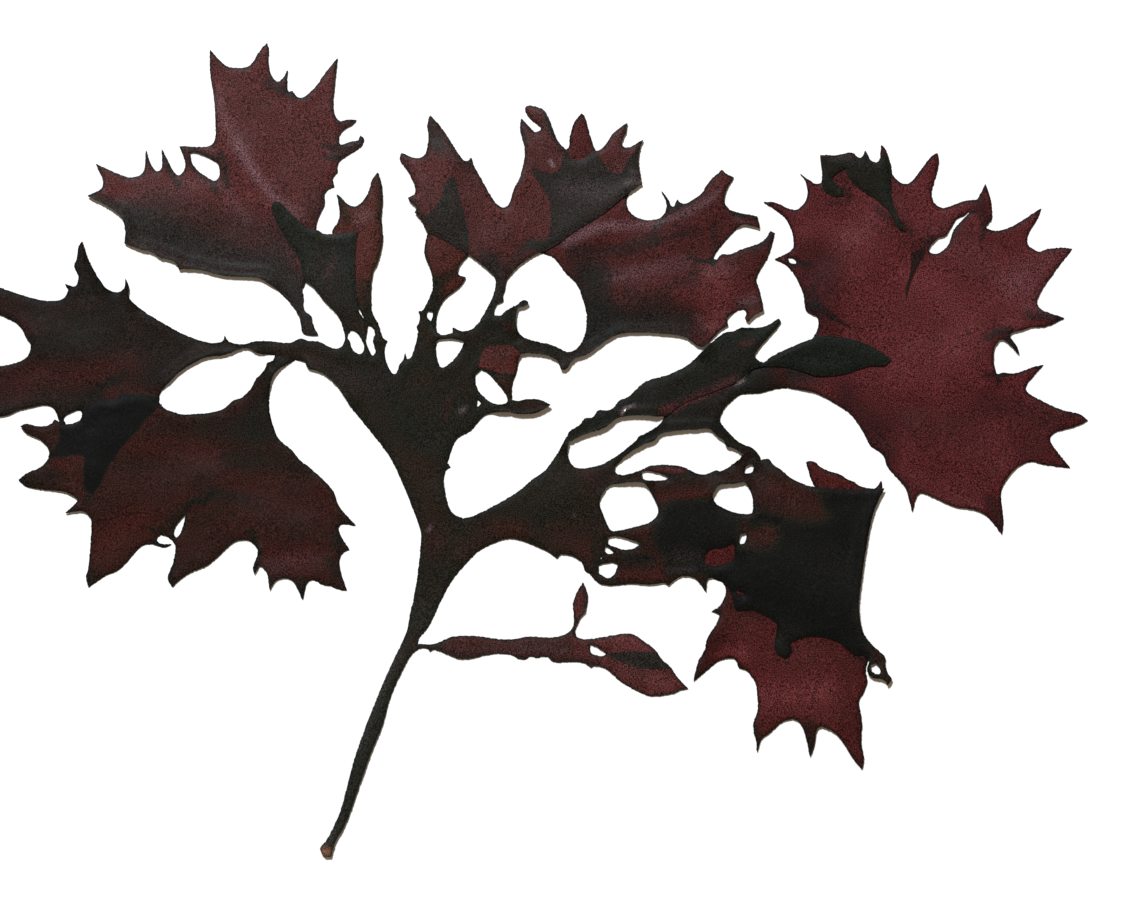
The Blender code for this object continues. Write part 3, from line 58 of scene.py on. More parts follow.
# %% Measures of the plant
MM = 0.001
MID_X, MID_Y = 50.1, 100.8     # middle of the plant, where the part's origin lies
TISSUE = 0.42                  # thickness of the real tissue within them
STIPE_TISSUE = 1.5             # thickness of the stipe at its foot
STIPE_TOP = 62.7               # length over which the stipe thins to a blade
STEP_FLAT, STEP_REACH = 4.0, 8.0    # a blade's rise holds, then eases, past the one below
ROOT_RAMP = 4.0                # distance from a fork over which a blade leaves its palm's level


def smooth(t):
    """Ease from 0 to 1: three t squared minus two t cubed."""
    t = np.clip(t, 0.0, 1.0)
    return t * t * (3.0 - 2.0 * t)


def segment_distance(points, start, end):
    """Distance of points from a segment: drop each point on the line, stop at the ends."""
    start = np.asarray(start, float)
    along = np.asarray(end, float) - start
    share = np.clip((points - start) @ along / max(along @ along, 1e-12), 0.0, 1.0)
    return np.linalg.norm(points - start - share[:, None] * along, axis=1)


def path_distance(points, segments):
    """Least distance of points from many segments, given as rows of start and end."""
    nearest = np.full(len(points), 1e9)
    for start, end in segments:
        nearest = np.minimum(nearest, segment_distance(points, start, end))
    return nearest


def inside(points, loop):
    """Even-odd rule: a point is inside when a ray from it crosses the outline an odd number
    of times."""
    x, y = points[:, 0], points[:, 1]
    within = np.zeros(len(points), bool)
    for (x0, y0), (x1, y1) in zip(np.roll(loop, 1, axis=0), loop):
        if y0 != y1:
            within ^= ((y0 > y) != (y1 > y)) & (x < x0 + (y - y0) * (x1 - x0) / (y1 - y0))
    return within


def within_sheet(points, loops):
    """Inside the outer outline and in none of the holes."""
    keep = inside(points, loops[0])
    for hole in loops[1:]:
        keep &= ~inside(points, hole)
    return keep


# %% [markdown]
# ## Where the plant forks
# The solids are cut apart at the forks, with a hair's gap between them. The real plant has no
# cut there, so the new surfaces are drawn together again on the same lines. Each line names the
# two pieces that meet on it. A second table says which blade lies over which.

# %% Forks and layers
FORKS = [
    ("stipe", "left_palm", [(22.1, 62.8), (28.65, 62.6)]),
    ("stipe", "lateral_bladelet", [(23.2, 52.2), (23.4, 51)]),
    ("left_palm", "right_palm", [(28.65, 62.6), (34.5, 83.6)]),
    ("left_palm", "small_leaf", [(46.25, 110.3), (46.6, 113.3)]),
    ("left_palm", "top_right_blade", [(53.6, 124.8), (53.9, 127.55)]),
    ("left_palm", "centre_blade", [(42.2, 134.2), (38.7, 132.8)]),
    ("left_palm", "back_centre_blade", [(28, 130.1), (23.3, 130.2)]),
    ("left_palm", "slim_pointed_blade", [(13.3, 132.2), (10.4, 132.7)]),
    ("left_palm", "slim_left_blade", [(10.4, 132.7), (4.5, 131.5)]),
    ("left_palm", "far_left_blade", [(-12.9, 127.8), (-12.5, 124.5)]),
    ("left_palm", "lower_left_blade", [(-12.5, 124.5), (-7.4, 123.25)]),
    ("right_palm", "lower_right_front",
     [(66.15, 69.9), (66.6, 80), (67.2, 90.4), (72.35, 95.5)]),
    ("right_palm", "right_stalk", [(72.6, 96.6), (71.3, 98.2)]),
    ("right_palm", "dark_blade", [(60.9, 102.8), (60.5, 104.1)]),
    ("right_stalk", "right_blade", [(115, 124.6), (115.6, 116.3)]),
    ("right_stalk", "lower_right_front", [(109, 98.25), (104.6, 99.7)]),
]
LIES_OVER = {
    "lower_left_blade": ["far_left_blade"],
    "slim_left_blade": ["upper_left_blade", "slim_pointed_blade"],
    "centre_blade": ["back_centre_blade", "top_right_blade"],
    "right_blade_fold": ["right_blade"],
    "dark_blade": ["right_blade", "right_stalk"],
    "lower_right_front": ["lower_right_back"],
}


def segments_of(path):
    """Rows of start and end along a path."""
    return list(zip(path[:-1], path[1:]))


def near_path(points, path, width):
    """1 on a path, easing to 0 at a distance of the given width."""
    return 1 - smooth(path_distance(points, segments_of(path)) / width)


print(len(FORKS), "forks,", sum(map(len, LIES_OVER.values())), "places where blades lie double")

# %% [markdown]
# ## Read the margins off the solids
# A solid is loose triangles. Its upper triangles, joined where they share corners, form a sheet,
# and an edge that only one of them uses is on the margin. Following such edges from corner to
# corner gives the outlines: the outer one, and one for each hole.

# %% Margins
FORK_SNAP = 0.27               # how near a fork's line a margin point is taken to lie on it


def to_plan(metres):
    """Metres in the part's frame to plan millimetres from the stipe's foot."""
    return metres[:, :2] / MM + (MID_X, MID_Y)


def rim_edges(triangles):
    """Edges, as rows of two corners, that one triangle uses and no other uses backwards."""
    edges = np.concatenate([triangles[:, [0, 1]], triangles[:, [1, 2]], triangles[:, [2, 0]]])
    size = triangles.max() + 1
    forward, backward = edges @ (size, 1), edges @ (1, size)
    return edges[~np.isin(forward, backward)]


def follow(edges):
    """Chain edges into closed rings of corners."""
    after = dict(map(tuple, edges))
    rings = []
    while after:
        ring = [next(iter(after))]
        while ring[-1] in after:
            ring.append(after.pop(ring[-1]))
        rings.append(ring[:-1])
    return rings


def ring_area(ring):
    """Half the sum of cross products of neighbouring corners (the shoelace rule)."""
    x, y = ring.T
    return 0.5 * np.sum(x * np.roll(y, -1) - np.roll(x, -1) * y)


def solid_margins(node):
    """Outlines of a node's upper side in plan, the outer one first."""
    mesh = frame["nodes"][node].data
    place = np.empty(len(mesh.vertices) * 3)
    mesh.vertices.foreach_get("co", place)
    corners = np.empty(len(mesh.polygons) * 3, int)
    mesh.polygons.foreach_get("vertices", corners)
    place = place.reshape(-1, 3)
    _, first, merged = np.unique(np.round(place, 6), axis=0, return_index=True, return_inverse=True)
    place, triangles = place[first], merged.ravel()[corners].reshape(-1, 3)
    a, b, c = (place[triangles[:, i]] for i in range(3))
    normal = np.cross(b - a, c - a)
    upper = normal[:, 2] > 0.5 * np.linalg.norm(normal, axis=1)
    rings = [to_plan(place[ring]) for ring in follow(rim_edges(triangles[upper]))]
    return sorted(rings, key=lambda ring: -abs(ring_area(ring)))


def drawn_to_forks(node, ring):
    """Move margin points that lie along a fork's cut onto the cut. Also tells which they are."""
    ring, on_fork = ring.copy(), np.zeros(len(ring), bool)
    for one, other, path in FORKS:
        if node not in (one, other):
            continue
        for start, end in segments_of(path):
            start, end = np.array(start, float), np.array(end, float)
            near = segment_distance(ring, start, end) < FORK_SNAP
            share = (ring[near] - start) @ (end - start) / ((end - start) @ (end - start))
            ring[near] = start + np.clip(share, 0, 1)[:, None] * (end - start)
            on_fork |= near
    return ring, on_fork


MARGINS = {node: [drawn_to_forks(node, ring) for ring in solid_margins(node)]
           for node in frame["nodes"]}
for node, rings in MARGINS.items():
    print(node, "margin points:", [len(ring) for ring, _ in rings],
          "on forks:", int(rings[0][1].sum()))

# %% [markdown]
# ## Draw each margin finely
# The margin of a seaweed blade is a free curve broken by sharp teeth and notches. Each run between
# two sharp corners is drawn as a centripetal Catmull-Rom curve: it passes through its points and
# never loops between close ones. A little seeded unevenness makes it look grown, not cut. Runs on
# a fork stay straight, so that the two tissues meet on them.

# %% Fine margins
SHARP_TURN = 58.0              # a turn in degrees that counts as a tooth or a notch
SPACING = 0.36                 # distance between margin points
UNEVEN = 0.05                  # how far the margin wanders from its drawn line
SKIN = 0.12                    # a real margin stands this far outside the solid's
ROUND_RING = 5                 # a ring with no more points than this has no sharp turns


def unit(vectors):
    """Each row divided by its length."""
    return vectors / np.maximum(np.linalg.norm(vectors, axis=-1, keepdims=True), 1e-12)


def curve_run(before, start, end, after, count):
    """Centripetal Catmull-Rom: knots grow by the square root of each chord's length."""
    knots = [0.0]
    places = [before, start, end, after]
    for one, other in zip(places[:-1], places[1:]):
        knots.append(knots[-1] + max(np.linalg.norm(other - one), 1e-6) ** 0.5)
    t0, t1, t2, t3 = knots
    t = np.linspace(t1, t2, count, endpoint=False)[:, None]
    a1 = ((t1 - t) * before + (t - t0) * start) / (t1 - t0)
    a2 = ((t2 - t) * start + (t - t1) * end) / (t2 - t1)
    a3 = ((t3 - t) * end + (t - t2) * after) / (t3 - t2)
    b1 = ((t2 - t) * a1 + (t - t0) * a2) / (t2 - t0)
    b2 = ((t3 - t) * a2 + (t - t1) * a3) / (t3 - t1)
    return ((t2 - t) * b1 + (t - t1) * b2) / (t2 - t1)


def fine_margin(ring, on_fork, random):
    """Points every SPACING along a ring, with each point's mark for lying on a fork's cut."""
    into = unit(ring - np.roll(ring, 1, axis=0))
    out = np.roll(into, -1, axis=0)
    turn = np.degrees(np.arccos(np.clip(np.sum(into * out, axis=1), -1, 1)))
    sharp = ((turn > SHARP_TURN) & (len(ring) > ROUND_RING)) | on_fork
    drawn, marks = [], []
    count = len(ring)
    for i in range(count):
        start, end = ring[i], ring[(i + 1) % count]
        cut = on_fork[i] and on_fork[(i + 1) % count]
        pieces = max(1, round(np.linalg.norm(end - start) / SPACING))
        if cut:
            run = start + np.arange(pieces)[:, None] / pieces * (end - start)
        else:
            before = 2 * start - end if sharp[i] else ring[i - 1]
            after = 2 * end - start if sharp[(i + 1) % count] else ring[(i + 2) % count]
            run = curve_run(before, start, end, after, pieces)
            wander = random.normal(0, UNEVEN, (pieces, 2))
            wander[0] = 0
            run = run + wander
        drawn.append(run)
        marks.append([cut or (j == 0 and on_fork[i]) for j in range(pieces)])
    drawn, marks = np.concatenate(drawn), np.concatenate(marks)
    along = unit(np.roll(drawn, -1, axis=0) - np.roll(drawn, 1, axis=0))
    outward = np.column_stack([along[:, 1], -along[:, 0]])
    return drawn + SKIN * outward * ~marks[:, None], marks


FINE = {}
for order, (node, rings) in enumerate(MARGINS.items()):
    random = np.random.default_rng(100 + order)
    FINE[node] = [fine_margin(ring, on_fork, random) for ring, on_fork in rings]
print("margin points:", sum(len(ring) for rings in FINE.values() for ring, _ in rings))

# %% [markdown]
# ## Distances that the shapes are built on
# Nearly all that follows depends on how far a spot lies from the nearest free margin: the tissue
# thins there, curls there and is darkest there. A fork's cut is not a margin, so it is left out.

# %% Distances
NOISE_CELLS = 96               # the lattice of random heights repeats after this many cells
NOISE_SHIFT = 200.0            # keeps cell numbers above zero


def edges_of(rings, free_only=True):
    """Starts and ends of all margin edges, without those on a fork's cut."""
    starts, ends = [], []
    for ring, cut in rings:
        after = np.roll(ring, -1, axis=0)
        keep = ~(cut & np.roll(cut, -1)) if free_only else np.ones(len(ring), bool)
        starts.append(ring[keep])
        ends.append(after[keep])
    return np.concatenate(starts), np.concatenate(ends)


def edge_distance(points, starts, ends, batch=4000):
    """Find the edge whose middle is nearest, then measure to that edge. The squared distances to
    all middles come from one matrix product per batch of points."""
    middle = (starts + ends) / 2
    found = np.empty(len(points), int)
    for first in range(0, len(points), batch):
        some = points[first:first + batch]
        squares = np.sum(middle ** 2, axis=1) - 2 * some @ middle.T
        found[first:first + batch] = np.argmin(squares, axis=1)
    start, along = starts[found], ends[found] - starts[found]
    share = np.sum((points - start) * along, axis=1) / np.maximum(np.sum(along ** 2, axis=1), 1e-9)
    return np.linalg.norm(points - start - np.clip(share, 0, 1)[:, None] * along, axis=1)


def loops_of(node):
    """A node's fine outlines alone, the outer one first."""
    return [ring for ring, _ in FINE[node]]


def free_distance(node, points):
    """Distance to the node's nearest free margin."""
    return edge_distance(points, *edges_of(FINE[node]))


def fork_distance(node, points, forks=None):
    """Distance to the nearest of the node's forks, or of those among the given pairs."""
    lines = [part for one, other, path in FORKS
             if node in (one, other) and (forks is None or (one, other) in forks)
             for part in segments_of(path)]
    return path_distance(points, lines)


def signed_cover(node, points):
    """Distance from a node's outline where a point is outside it, and zero where it is within."""
    outer = [FINE[node][0]]
    away = edge_distance(points, *edges_of(outer, free_only=False))
    return np.where(inside(points, outer[0][0]), 0.0, away)


def soft_noise(points, size, seed):
    """Random heights on a square lattice of the given size, eased between its corners (value
    noise). The result lies between -1 and 1."""
    table = np.random.default_rng(seed).uniform(-1, 1, (NOISE_CELLS + 1, NOISE_CELLS + 1))
    where = points / size + NOISE_SHIFT
    cell = np.floor(where).astype(int)
    share = smooth(where - cell)
    column, row = cell[:, 0] % NOISE_CELLS, cell[:, 1] % NOISE_CELLS
    low = table[column, row] * (1 - share[:, 0]) + table[column + 1, row] * share[:, 0]
    high = table[column, row + 1] * (1 - share[:, 0]) + table[column + 1, row + 1] * share[:, 0]
    return low * (1 - share[:, 1]) + high * share[:, 1]


# %% [markdown]
# ## The lie of the plant
# Wet tissue laid on a flat surface clings to it here and stands off it there. The solids already
# carry low swells and crests; the same ones are repeated here so that the tissue follows them. On
# top of those come the small things: margins that curl up, and blades that step over one another.

# %% Heights
SWELL = 0.3                    # height of the broad swells
REST_X, REST_Y = 24.0, 99.0    # where the palm rests flat
REST_FLAT, REST_REACH = 9.0, 16.0
CRESTS = [                     # from x, y, to x, y, half width, height
    (-25, 186, -19, 173, 9, 0.5), (-19, 173, -8, 161, 9, 0.5), (-44, 158, -30, 162, 10, 0.5),
    (62, 155, 76, 162, 8, 0.4), (82, 150, 98, 163, 8, 0.55), (72, 138, 92, 142, 9, 0.5),
    (96, 140, 106, 150, 8, 0.5), (42, 150, 46, 158, 7, 0.4), (30, 160, 30, 172, 8, 0.4),
    (-48, 88, -30, 92, 10, 0.6), (-24, 84, -6, 80, 9, 0.55), (-50, 108, -58, 96, 10, 0.4),
    (-70, 128, -58, 124, 9, 0.5), (128, 140, 142, 156, 10, 0.65), (150, 120, 172, 126, 10, 0.6),
    (150, 104, 168, 96, 9, 0.6), (152, 152, 166, 148, 9, 0.5), (112, 70, 126, 62, 10, 0.5),
    (122, 44, 128, 34, 9, 0.5), (100, 54, 112, 46, 8, 0.4), (84, 80, 100, 79, 9, 0.4),
    (70, 51, 82, 47, 7, 0.55), (44, 84, 60, 90, 10, 0.5), (20, 140, 30, 148, 8, 0.4)]
LAP = 0.62                     # rise of tissue over the tissue it lies on
RIM = 0.14                     # thickness at a margin
RIM_REACH = 1.3                # distance over which a margin thickens
CURL, CURL_REACH = 0.35, 4.0   # how high margins curl, and from how far in
CURL_SHARE, CURL_VARIES, CURL_PATCH = 0.35, 0.9, 11    # usual share of it, spread and patches
PRESS_FLAT, PRESS_REACH = 0.4, 2.5    # how far past a blade above a margin is pressed down
RIPPLE, RIPPLE_SIZE, RIPPLE_REACH = 0.10, 4.5, 4.0    # small unevenness, none at a fork
STIPE_ROUND = 2.6              # distance over which the stipe's side is rounded
SETTLED = [                    # forks at which margins lie down, so that both sides meet
    ("left_palm", "slim_pointed_blade"), ("left_palm", "slim_left_blade"),
    ("left_palm", "far_left_blade"), ("left_palm", "lower_left_blade"),
    ("right_palm", "lower_right_front"), ("right_palm", "right_stalk")]
SETTLED_REACH = 5.0            # distance from such a fork over which they do
LIFTS = [                      # margins that stand off the table: path, half width, height
    ([(-58, 163), (-50, 158), (-47, 151), (-38, 148), (-30, 145), (-14, 143.5)], 5, 1.5),
    ([(-59.5, 151), (-57, 145), (-55, 142)], 3, 1.3), ([(-49, 143), (-47.5, 138)], 3, 1.2),
    ([(-39, 118), (-34, 122.5), (-27, 125), (-14, 125)], 4, 1.2),
    ([(-13, 117), (-12.5, 121), (-8, 123.4), (-4, 121.6), (1, 118.6), (6, 113)], 4, 1.1),
    ([(44, 110.4), (50, 110), (56.6, 111.6)], 3.6, 2.0),
    ([(47.4, 131), (48, 136), (51, 137)], 3, 1.5), ([(28, 129), (34.6, 128.6)], 3, 0.9),
    ([(49, 125), (55, 124.6), (59, 121), (62, 123), (72, 128)], 4, 1.6),
    ([(74, 130), (84, 129.6), (91, 128.4), (95, 126)], 4, 1.3),
    ([(97, 130), (100, 132), (100.4, 134)], 3, 0.8),
    ([(103.6, 133), (106, 133.4), (109, 135.6)], 3, 1.3), ([(104, 157.4), (108, 156)], 2.6, 1.2),
    ([(60.6, 102), (64, 104.4), (72, 107.6), (82, 109.1)], 3.4, 1.6),
    ([(73.6, 97), (80, 102.4), (86, 105), (96, 105.6), (104, 99.6)], 3.4, 1.6),
    ([(69, 90), (75, 92.6), (80, 92.6)], 3, 1.4),
    ([(97.6, 90), (100, 92.6), (105, 92.6)], 3, 1.2), ([(105, 97), (107, 97)], 2, 0.9),
    ([(139, 91), (135, 82), (133.6, 70), (134, 58)], 4, 0.9),
    ([(135, 46), (140, 44), (141, 42.6)], 3, 0.9), ([(65.4, 60), (64, 57)], 2, 0.8),
    ([(-18, 70.6), (-16.6, 76)], 2.4, 0.7), ([(146, 89), (152, 88.6), (164, 85)], 3, 0.4)]


def ground_height(points):
    """Height of the plant's underside: half-waves, squared so that they are flat between, plus
    rounded crests along segments, all eased to nothing where the palm rests."""
    x, y = points.T
    wave = np.sin(x / 17 + 0.4) * np.cos(y / 21 - 0.7) + 0.5 * np.sin(x / 31 - y / 13)
    height = SWELL * np.maximum(wave, 0) ** 2
    for x0, y0, x1, y1, width, crest in CRESTS:
        share = np.clip(segment_distance(points, (x0, y0), (x1, y1)) / width, 0, 1)
        height += crest * (1 - share ** 2) ** 2
    return height * smooth((np.hypot(x - REST_X, y - REST_Y) - REST_FLAT) / REST_REACH)


def covered(node, points, flat=STEP_FLAT, reach=STEP_REACH):
    """1 over a node, easing to 0 beyond its outline."""
    return 1 - smooth((signed_cover(node, points) - flat) / reach)


def lie(node, points):
    """Underside and topside heights of a node's tissue at plan points, in mm."""
    margin = free_distance(node, points)
    fork = fork_distance(node, points)
    low = ground_height(points)
    rise = np.zeros(len(points))
    for under in LIES_OVER.get(node, []):
        rise = np.maximum(rise, covered(under, points))
    low += LAP * rise * smooth(fork / ROOT_RAMP)
    pressed = np.zeros(len(points))
    for over, unders in LIES_OVER.items():
        if node in unders:
            pressed = np.maximum(pressed, covered(over, points, PRESS_FLAT, PRESS_REACH))
    share = CURL_SHARE + CURL_VARIES * soft_noise(points, CURL_PATCH, 5)
    curl = CURL * np.clip(share, 0, 1) ** 1.5
    for path, width, height in LIFTS:
        curl = np.maximum(curl, height * near_path(points, path, width))
    settled = smooth(fork_distance(node, points, SETTLED) / SETTLED_REACH)
    low += curl * (1 - smooth(margin / CURL_REACH)) * (1 - pressed) * settled
    ripple = RIPPLE * (1 + soft_noise(points, RIPPLE_SIZE, 8))
    low += ripple * (1 - pressed) * smooth(fork / RIPPLE_REACH)
    if node == "stipe":
        full = TISSUE + (STIPE_TISSUE - TISSUE) * (1 - smooth(points[:, 1] / STIPE_TOP))
        round_off = np.sqrt(1 - (1 - np.clip(margin / STIPE_ROUND, 0, 1)) ** 2)
        thick = RIM + (full - RIM) * np.maximum(round_off, smooth(margin / RIM_REACH))
        low += 0.5 * (full - thick) * (1 - smooth(points[:, 1] / STIPE_TOP))
    else:
        thick = RIM + (TISSUE - RIM) * smooth(margin / RIM_REACH)
    return low, low + thick


around = np.array([[x, y] for x in range(-80, 180, 4) for y in range(0, 200, 4)])
print("highest ground:", round(float(ground_height(around).max()), 2), "mm")

# %% [markdown]
# ## Folds
# Where a blade has folded over on itself, or a flap has grown together with it, the tissue is
# double within a crisp outline. A few spots are the other way: thin, so that light comes through.
# Each fold is an outline with the depth of pigment that it adds or takes away.

# %% Folds and thin spots
FOLDS = {
    "upper_left_blade": [
        ([(-0.6, 176.9), (1.6, 176.6), (3.6, 176.6), (5.6, 177.3), (8.2, 178.2), (8.9, 179.7),
          (9.8, 179), (9.4, 176.6), (7.4, 175.5), (5.6, 174.3), (4, 173.5), (1.5, 173.3),
          (0.3, 173.8), (1.4, 175)], 0.5)],
    "lateral_bladelet": [
        ([(70.8, 50), (76.6, 50.5), (79.6, 50.4), (82.6, 49.9), (86.6, 45.9), (83.3, 45.8),
          (79.5, 45.9), (77.2, 46.5), (74, 47.7), (70.4, 49.2)], 1.3)],
    "left_palm": [
        ([(38.7, 123.2), (39.2, 125.1), (40.6, 126.7), (42.6, 127), (46.4, 126.9), (47.7, 126.1),
          (48.8, 125), (50.5, 122.5), (50.5, 119.4), (47.4, 119.5), (44.5, 119.9), (41.6, 120.6),
          (38.1, 121.3)], -1.2),
        ([(42, 133.4), (43.6, 134), (46.3, 136.4), (48.6, 135.8), (48.2, 131), (47.7, 130.2),
          (45, 130.4), (43.4, 131.6)], 0.5),
        ([(30.4, 114.9), (31.8, 114.2), (32.3, 112), (31.6, 109.4), (30.6, 107.3), (29, 107.2),
          (28.5, 108.8), (29.3, 111), (29.7, 113.4)], -0.45),
        ([(21.2, 118.5), (22, 120.6), (24, 121.4), (26, 120.3), (26.8, 118.5), (26, 116.5),
          (24, 115.8), (21.8, 116.2)], -0.4),
        ([(20.4, 104.6), (23.4, 102.4), (26.8, 100.9), (28.8, 104.2), (28.4, 108), (24, 110.5),
          (19.4, 108.6)], 0.18)],
    "top_right_blade": [
        ([(91.8, 148.9), (93.4, 147.7), (95.6, 147.5), (97.2, 146.7), (98.2, 148.2),
          (99.2, 149.9), (97.4, 150.4), (96.6, 148.6), (94.2, 148.4)], 1.0)],
    "right_blade": [
        ([(153.4, 154.8), (150.4, 151.6), (150.3, 150.2), (148.6, 147), (146.8, 143),
          (145.2, 137.8), (145, 141), (146.2, 145.5), (146.3, 150), (149, 151.2), (151.4, 153.6)],
          0.95),
        ([(120.2, 137.6), (123.4, 138.2), (126, 135.9), (128.5, 133.9), (132.4, 131),
          (131.2, 131), (128.5, 132.2), (125.5, 133.7), (123.2, 135), (120.4, 135.8)], 0.6)],
}
FOLD_LINES = {node: [(fine_margin(np.array(outline, float), np.zeros(len(outline), bool),
                                  np.random.default_rng(7))[0], extra) for outline, extra in folds]
              for node, folds in FOLDS.items()}
print("folds:", sum(map(len, FOLD_LINES.values())))

# %% [markdown]
# ## A sheet of tissue
# Inside its margins a blade is meshed with even triangles: points along the margin, two rows of
# points just inside it where the tissue thins, and a net of points six ways apart over the rest.
# A constrained Delaunay triangulation joins them and keeps every margin edge. Outlines of blades
# above or below, and of folds, are put in as edges too, so that a change of colour can be crisp.

# %% Mesh of a sheet
ROWS = (0.32, 0.85)            # distances of the inner rows from the margin
NET = 1.05                     # distance between points of the net
NET_OFF = 1.3                  # distance of the net from the margin
BESIDE = 0.3                   # distance of the rows beside a fold or another blade's outline
BESIDE_OFF, NET_BESIDE = 0.5, 0.75    # least distance of those rows from a margin, and of the net
ROW_KEPT = 0.86                # a row's point stays if no margin is nearer than this share
NEAR_BOX = 2                   # how far around a blade other outlines are kept
CREASE = 50                    # shading is smooth across edges that turn less, in degrees


def inner_rows(rings, starts, ends):
    """Margin points moved to the left of the margin's direction, where the tissue is. The second
    row takes every second point. Those too near another stretch of margin are dropped."""
    rows = []
    for ring, _ in rings:
        along = unit(np.roll(ring, -1, axis=0) - np.roll(ring, 1, axis=0))
        inward = np.column_stack([-along[:, 1], along[:, 0]])
        for step, off in enumerate(ROWS):
            row = (ring + off * inward)[step % 2::1 + step]
            rows.append(row[edge_distance(row, starts, ends) > ROW_KEPT * off])
    return np.concatenate(rows)


def both_sides(line, off):
    """A line's points moved to its left and to its right."""
    along = unit(np.gradient(line, axis=0))
    across = np.column_stack([-along[:, 1], along[:, 0]])
    return [line + off * across, line - off * across]


def nearest_point(points, others):
    """Distance to the nearest of the other points."""
    return edge_distance(points, others, others)


def net_points(low, high, size):
    """Rows of points, every second row moved by half a step."""
    rows = np.arange(low[1], high[1], size * 3 ** 0.5 / 2)
    columns = np.arange(low[0], high[0], size)
    x, y = np.meshgrid(columns, rows)
    x[1::2] += size / 2
    return np.column_stack([x.ravel(), y.ravel()])


def sheet_triangles(node, lines):
    """Plan points and triangles of a node's sheet, with the given lines kept as edges."""
    rings = FINE[node]
    loops = loops_of(node)
    starts, ends = edges_of(rings, free_only=False)
    net = net_points(loops[0].min(axis=0), loops[0].max(axis=0), NET)
    net = net[edge_distance(net, starts, ends) > NET_OFF]
    beside = [side for line, _ in lines for side in both_sides(line, BESIDE)]
    if beside:
        beside = np.concatenate(beside)
        beside = beside[edge_distance(beside, starts, ends) > BESIDE_OFF]
        line_points = np.concatenate([line for line, _ in lines])
        net = net[nearest_point(net, line_points) > NET_BESIDE]
    more = [beside] if len(beside) else []
    extra = np.concatenate([inner_rows(rings, starts, ends), net] + more)
    extra = extra[within_sheet(extra, loops)]
    points, edges = [extra], []
    count = len(extra)
    for line, closed in [(ring, True) for ring in loops] + lines:
        index = count + np.arange(len(line))
        points.append(line)
        joined = np.column_stack([index, np.roll(index, -1)])
        edges.append(joined if closed else joined[:-1])
        count += len(line)
    places = [Vector(place) for place in np.concatenate(points).tolist()]
    pairs = np.concatenate(edges).tolist()
    found = delaunay_2d_cdt(places, pairs, [], 0, 1e-6)
    place = np.array([vertex[:] for vertex in found[0]])
    triangles = np.array(found[2])
    triangles = triangles[within_sheet(place[triangles].mean(axis=1), loops)]
    used, triangles = np.unique(triangles, return_inverse=True)
    place, triangles = place[used], triangles.reshape(-1, 3)
    a, b, c = (place[triangles[:, i]] for i in range(3))
    turn = (b - a)[:, 0] * (c - a)[:, 1] - (b - a)[:, 1] * (c - a)[:, 0]
    triangles[turn < 0] = triangles[turn < 0][:, ::-1]
    return place, triangles[np.abs(turn) > 1e-9]


def lines_near(node):
    """Outlines of the blades above and below that reach over a node."""
    lines = [(outline, True) for outline, _ in FOLD_LINES.get(node, [])]
    outer = loops_of(node)[0]
    low, high = outer.min(axis=0) - NEAR_BOX, outer.max(axis=0) + NEAR_BOX
    for over, unders in LIES_OVER.items():
        others = unders if node == over else [over] if node in unders else []
        for other in others:
            for ring in loops_of(other):
                near = np.all((ring > low) & (ring < high), axis=1)
                if near.all():
                    lines.append((ring, True))
                elif near.any():
                    first = int(np.argmax(near & ~np.roll(near, 1)))
                    turned, kept = np.roll(ring, -first, axis=0), np.roll(near, -first)
                    breaks = np.flatnonzero(np.diff(kept.astype(int)) != 0) + 1
                    runs = np.split(turned, breaks)[::2]
                    lines += [(run, False) for run in runs if len(run) > 1]
    return lines


# %% [markdown]
# ## A closed solid
# The sheet's triangles are used twice: at the topside's heights, and turned over at the
# underside's. A band of quads closes the rim. Shading is smooth, with the rim's edge kept sharp.

# %% Build a tissue
def placed(name, data):
    """A new object in the scene that shows the given data."""
    thing = bpy.data.objects.new(name, data)
    bpy.context.scene.collection.objects.link(thing)
    return thing


def make_tissue(node):
    """The node's closed tissue as a mesh object, with its plan points and triangles."""
    place, triangles = sheet_triangles(node, lines_near(node))
    low, high = lie(node, place)
    count = len(place)
    rim = rim_edges(triangles)
    under = np.column_stack([place, low])
    upper = np.column_stack([place, high])
    points = (np.concatenate([upper, under]) - (MID_X, MID_Y, 0)) * MM
    band = np.column_stack([rim[:, 1], rim[:, 0], rim[:, 0] + count, rim[:, 1] + count])
    turned = triangles[:, ::-1] + count
    corners = np.concatenate([triangles.ravel(), turned.ravel(), band.ravel()])
    sizes = np.concatenate([np.full(2 * len(triangles), 3), np.full(len(band), 4)])
    mesh = bpy.data.meshes.new("tissue_" + node)
    mesh.vertices.add(len(points))
    mesh.vertices.foreach_set("co", points.ravel())
    mesh.loops.add(len(corners))
    mesh.loops.foreach_set("vertex_index", corners)
    mesh.polygons.add(len(sizes))
    mesh.polygons.foreach_set("loop_start", np.concatenate([[0], np.cumsum(sizes)[:-1]]))
    mesh.update(calc_edges=True)
    mesh.validate()
    mesh.polygons.foreach_set("use_smooth", np.ones(len(sizes), bool))
    mesh.set_sharp_from_angle(angle=math.radians(CREASE))
    return placed("tissue_" + node, mesh), place, triangles


TISSUES = {}
for node in FINE:
    TISSUES[node] = make_tissue(node)
    print(node, len(TISSUES[node][0].data.polygons), "faces")
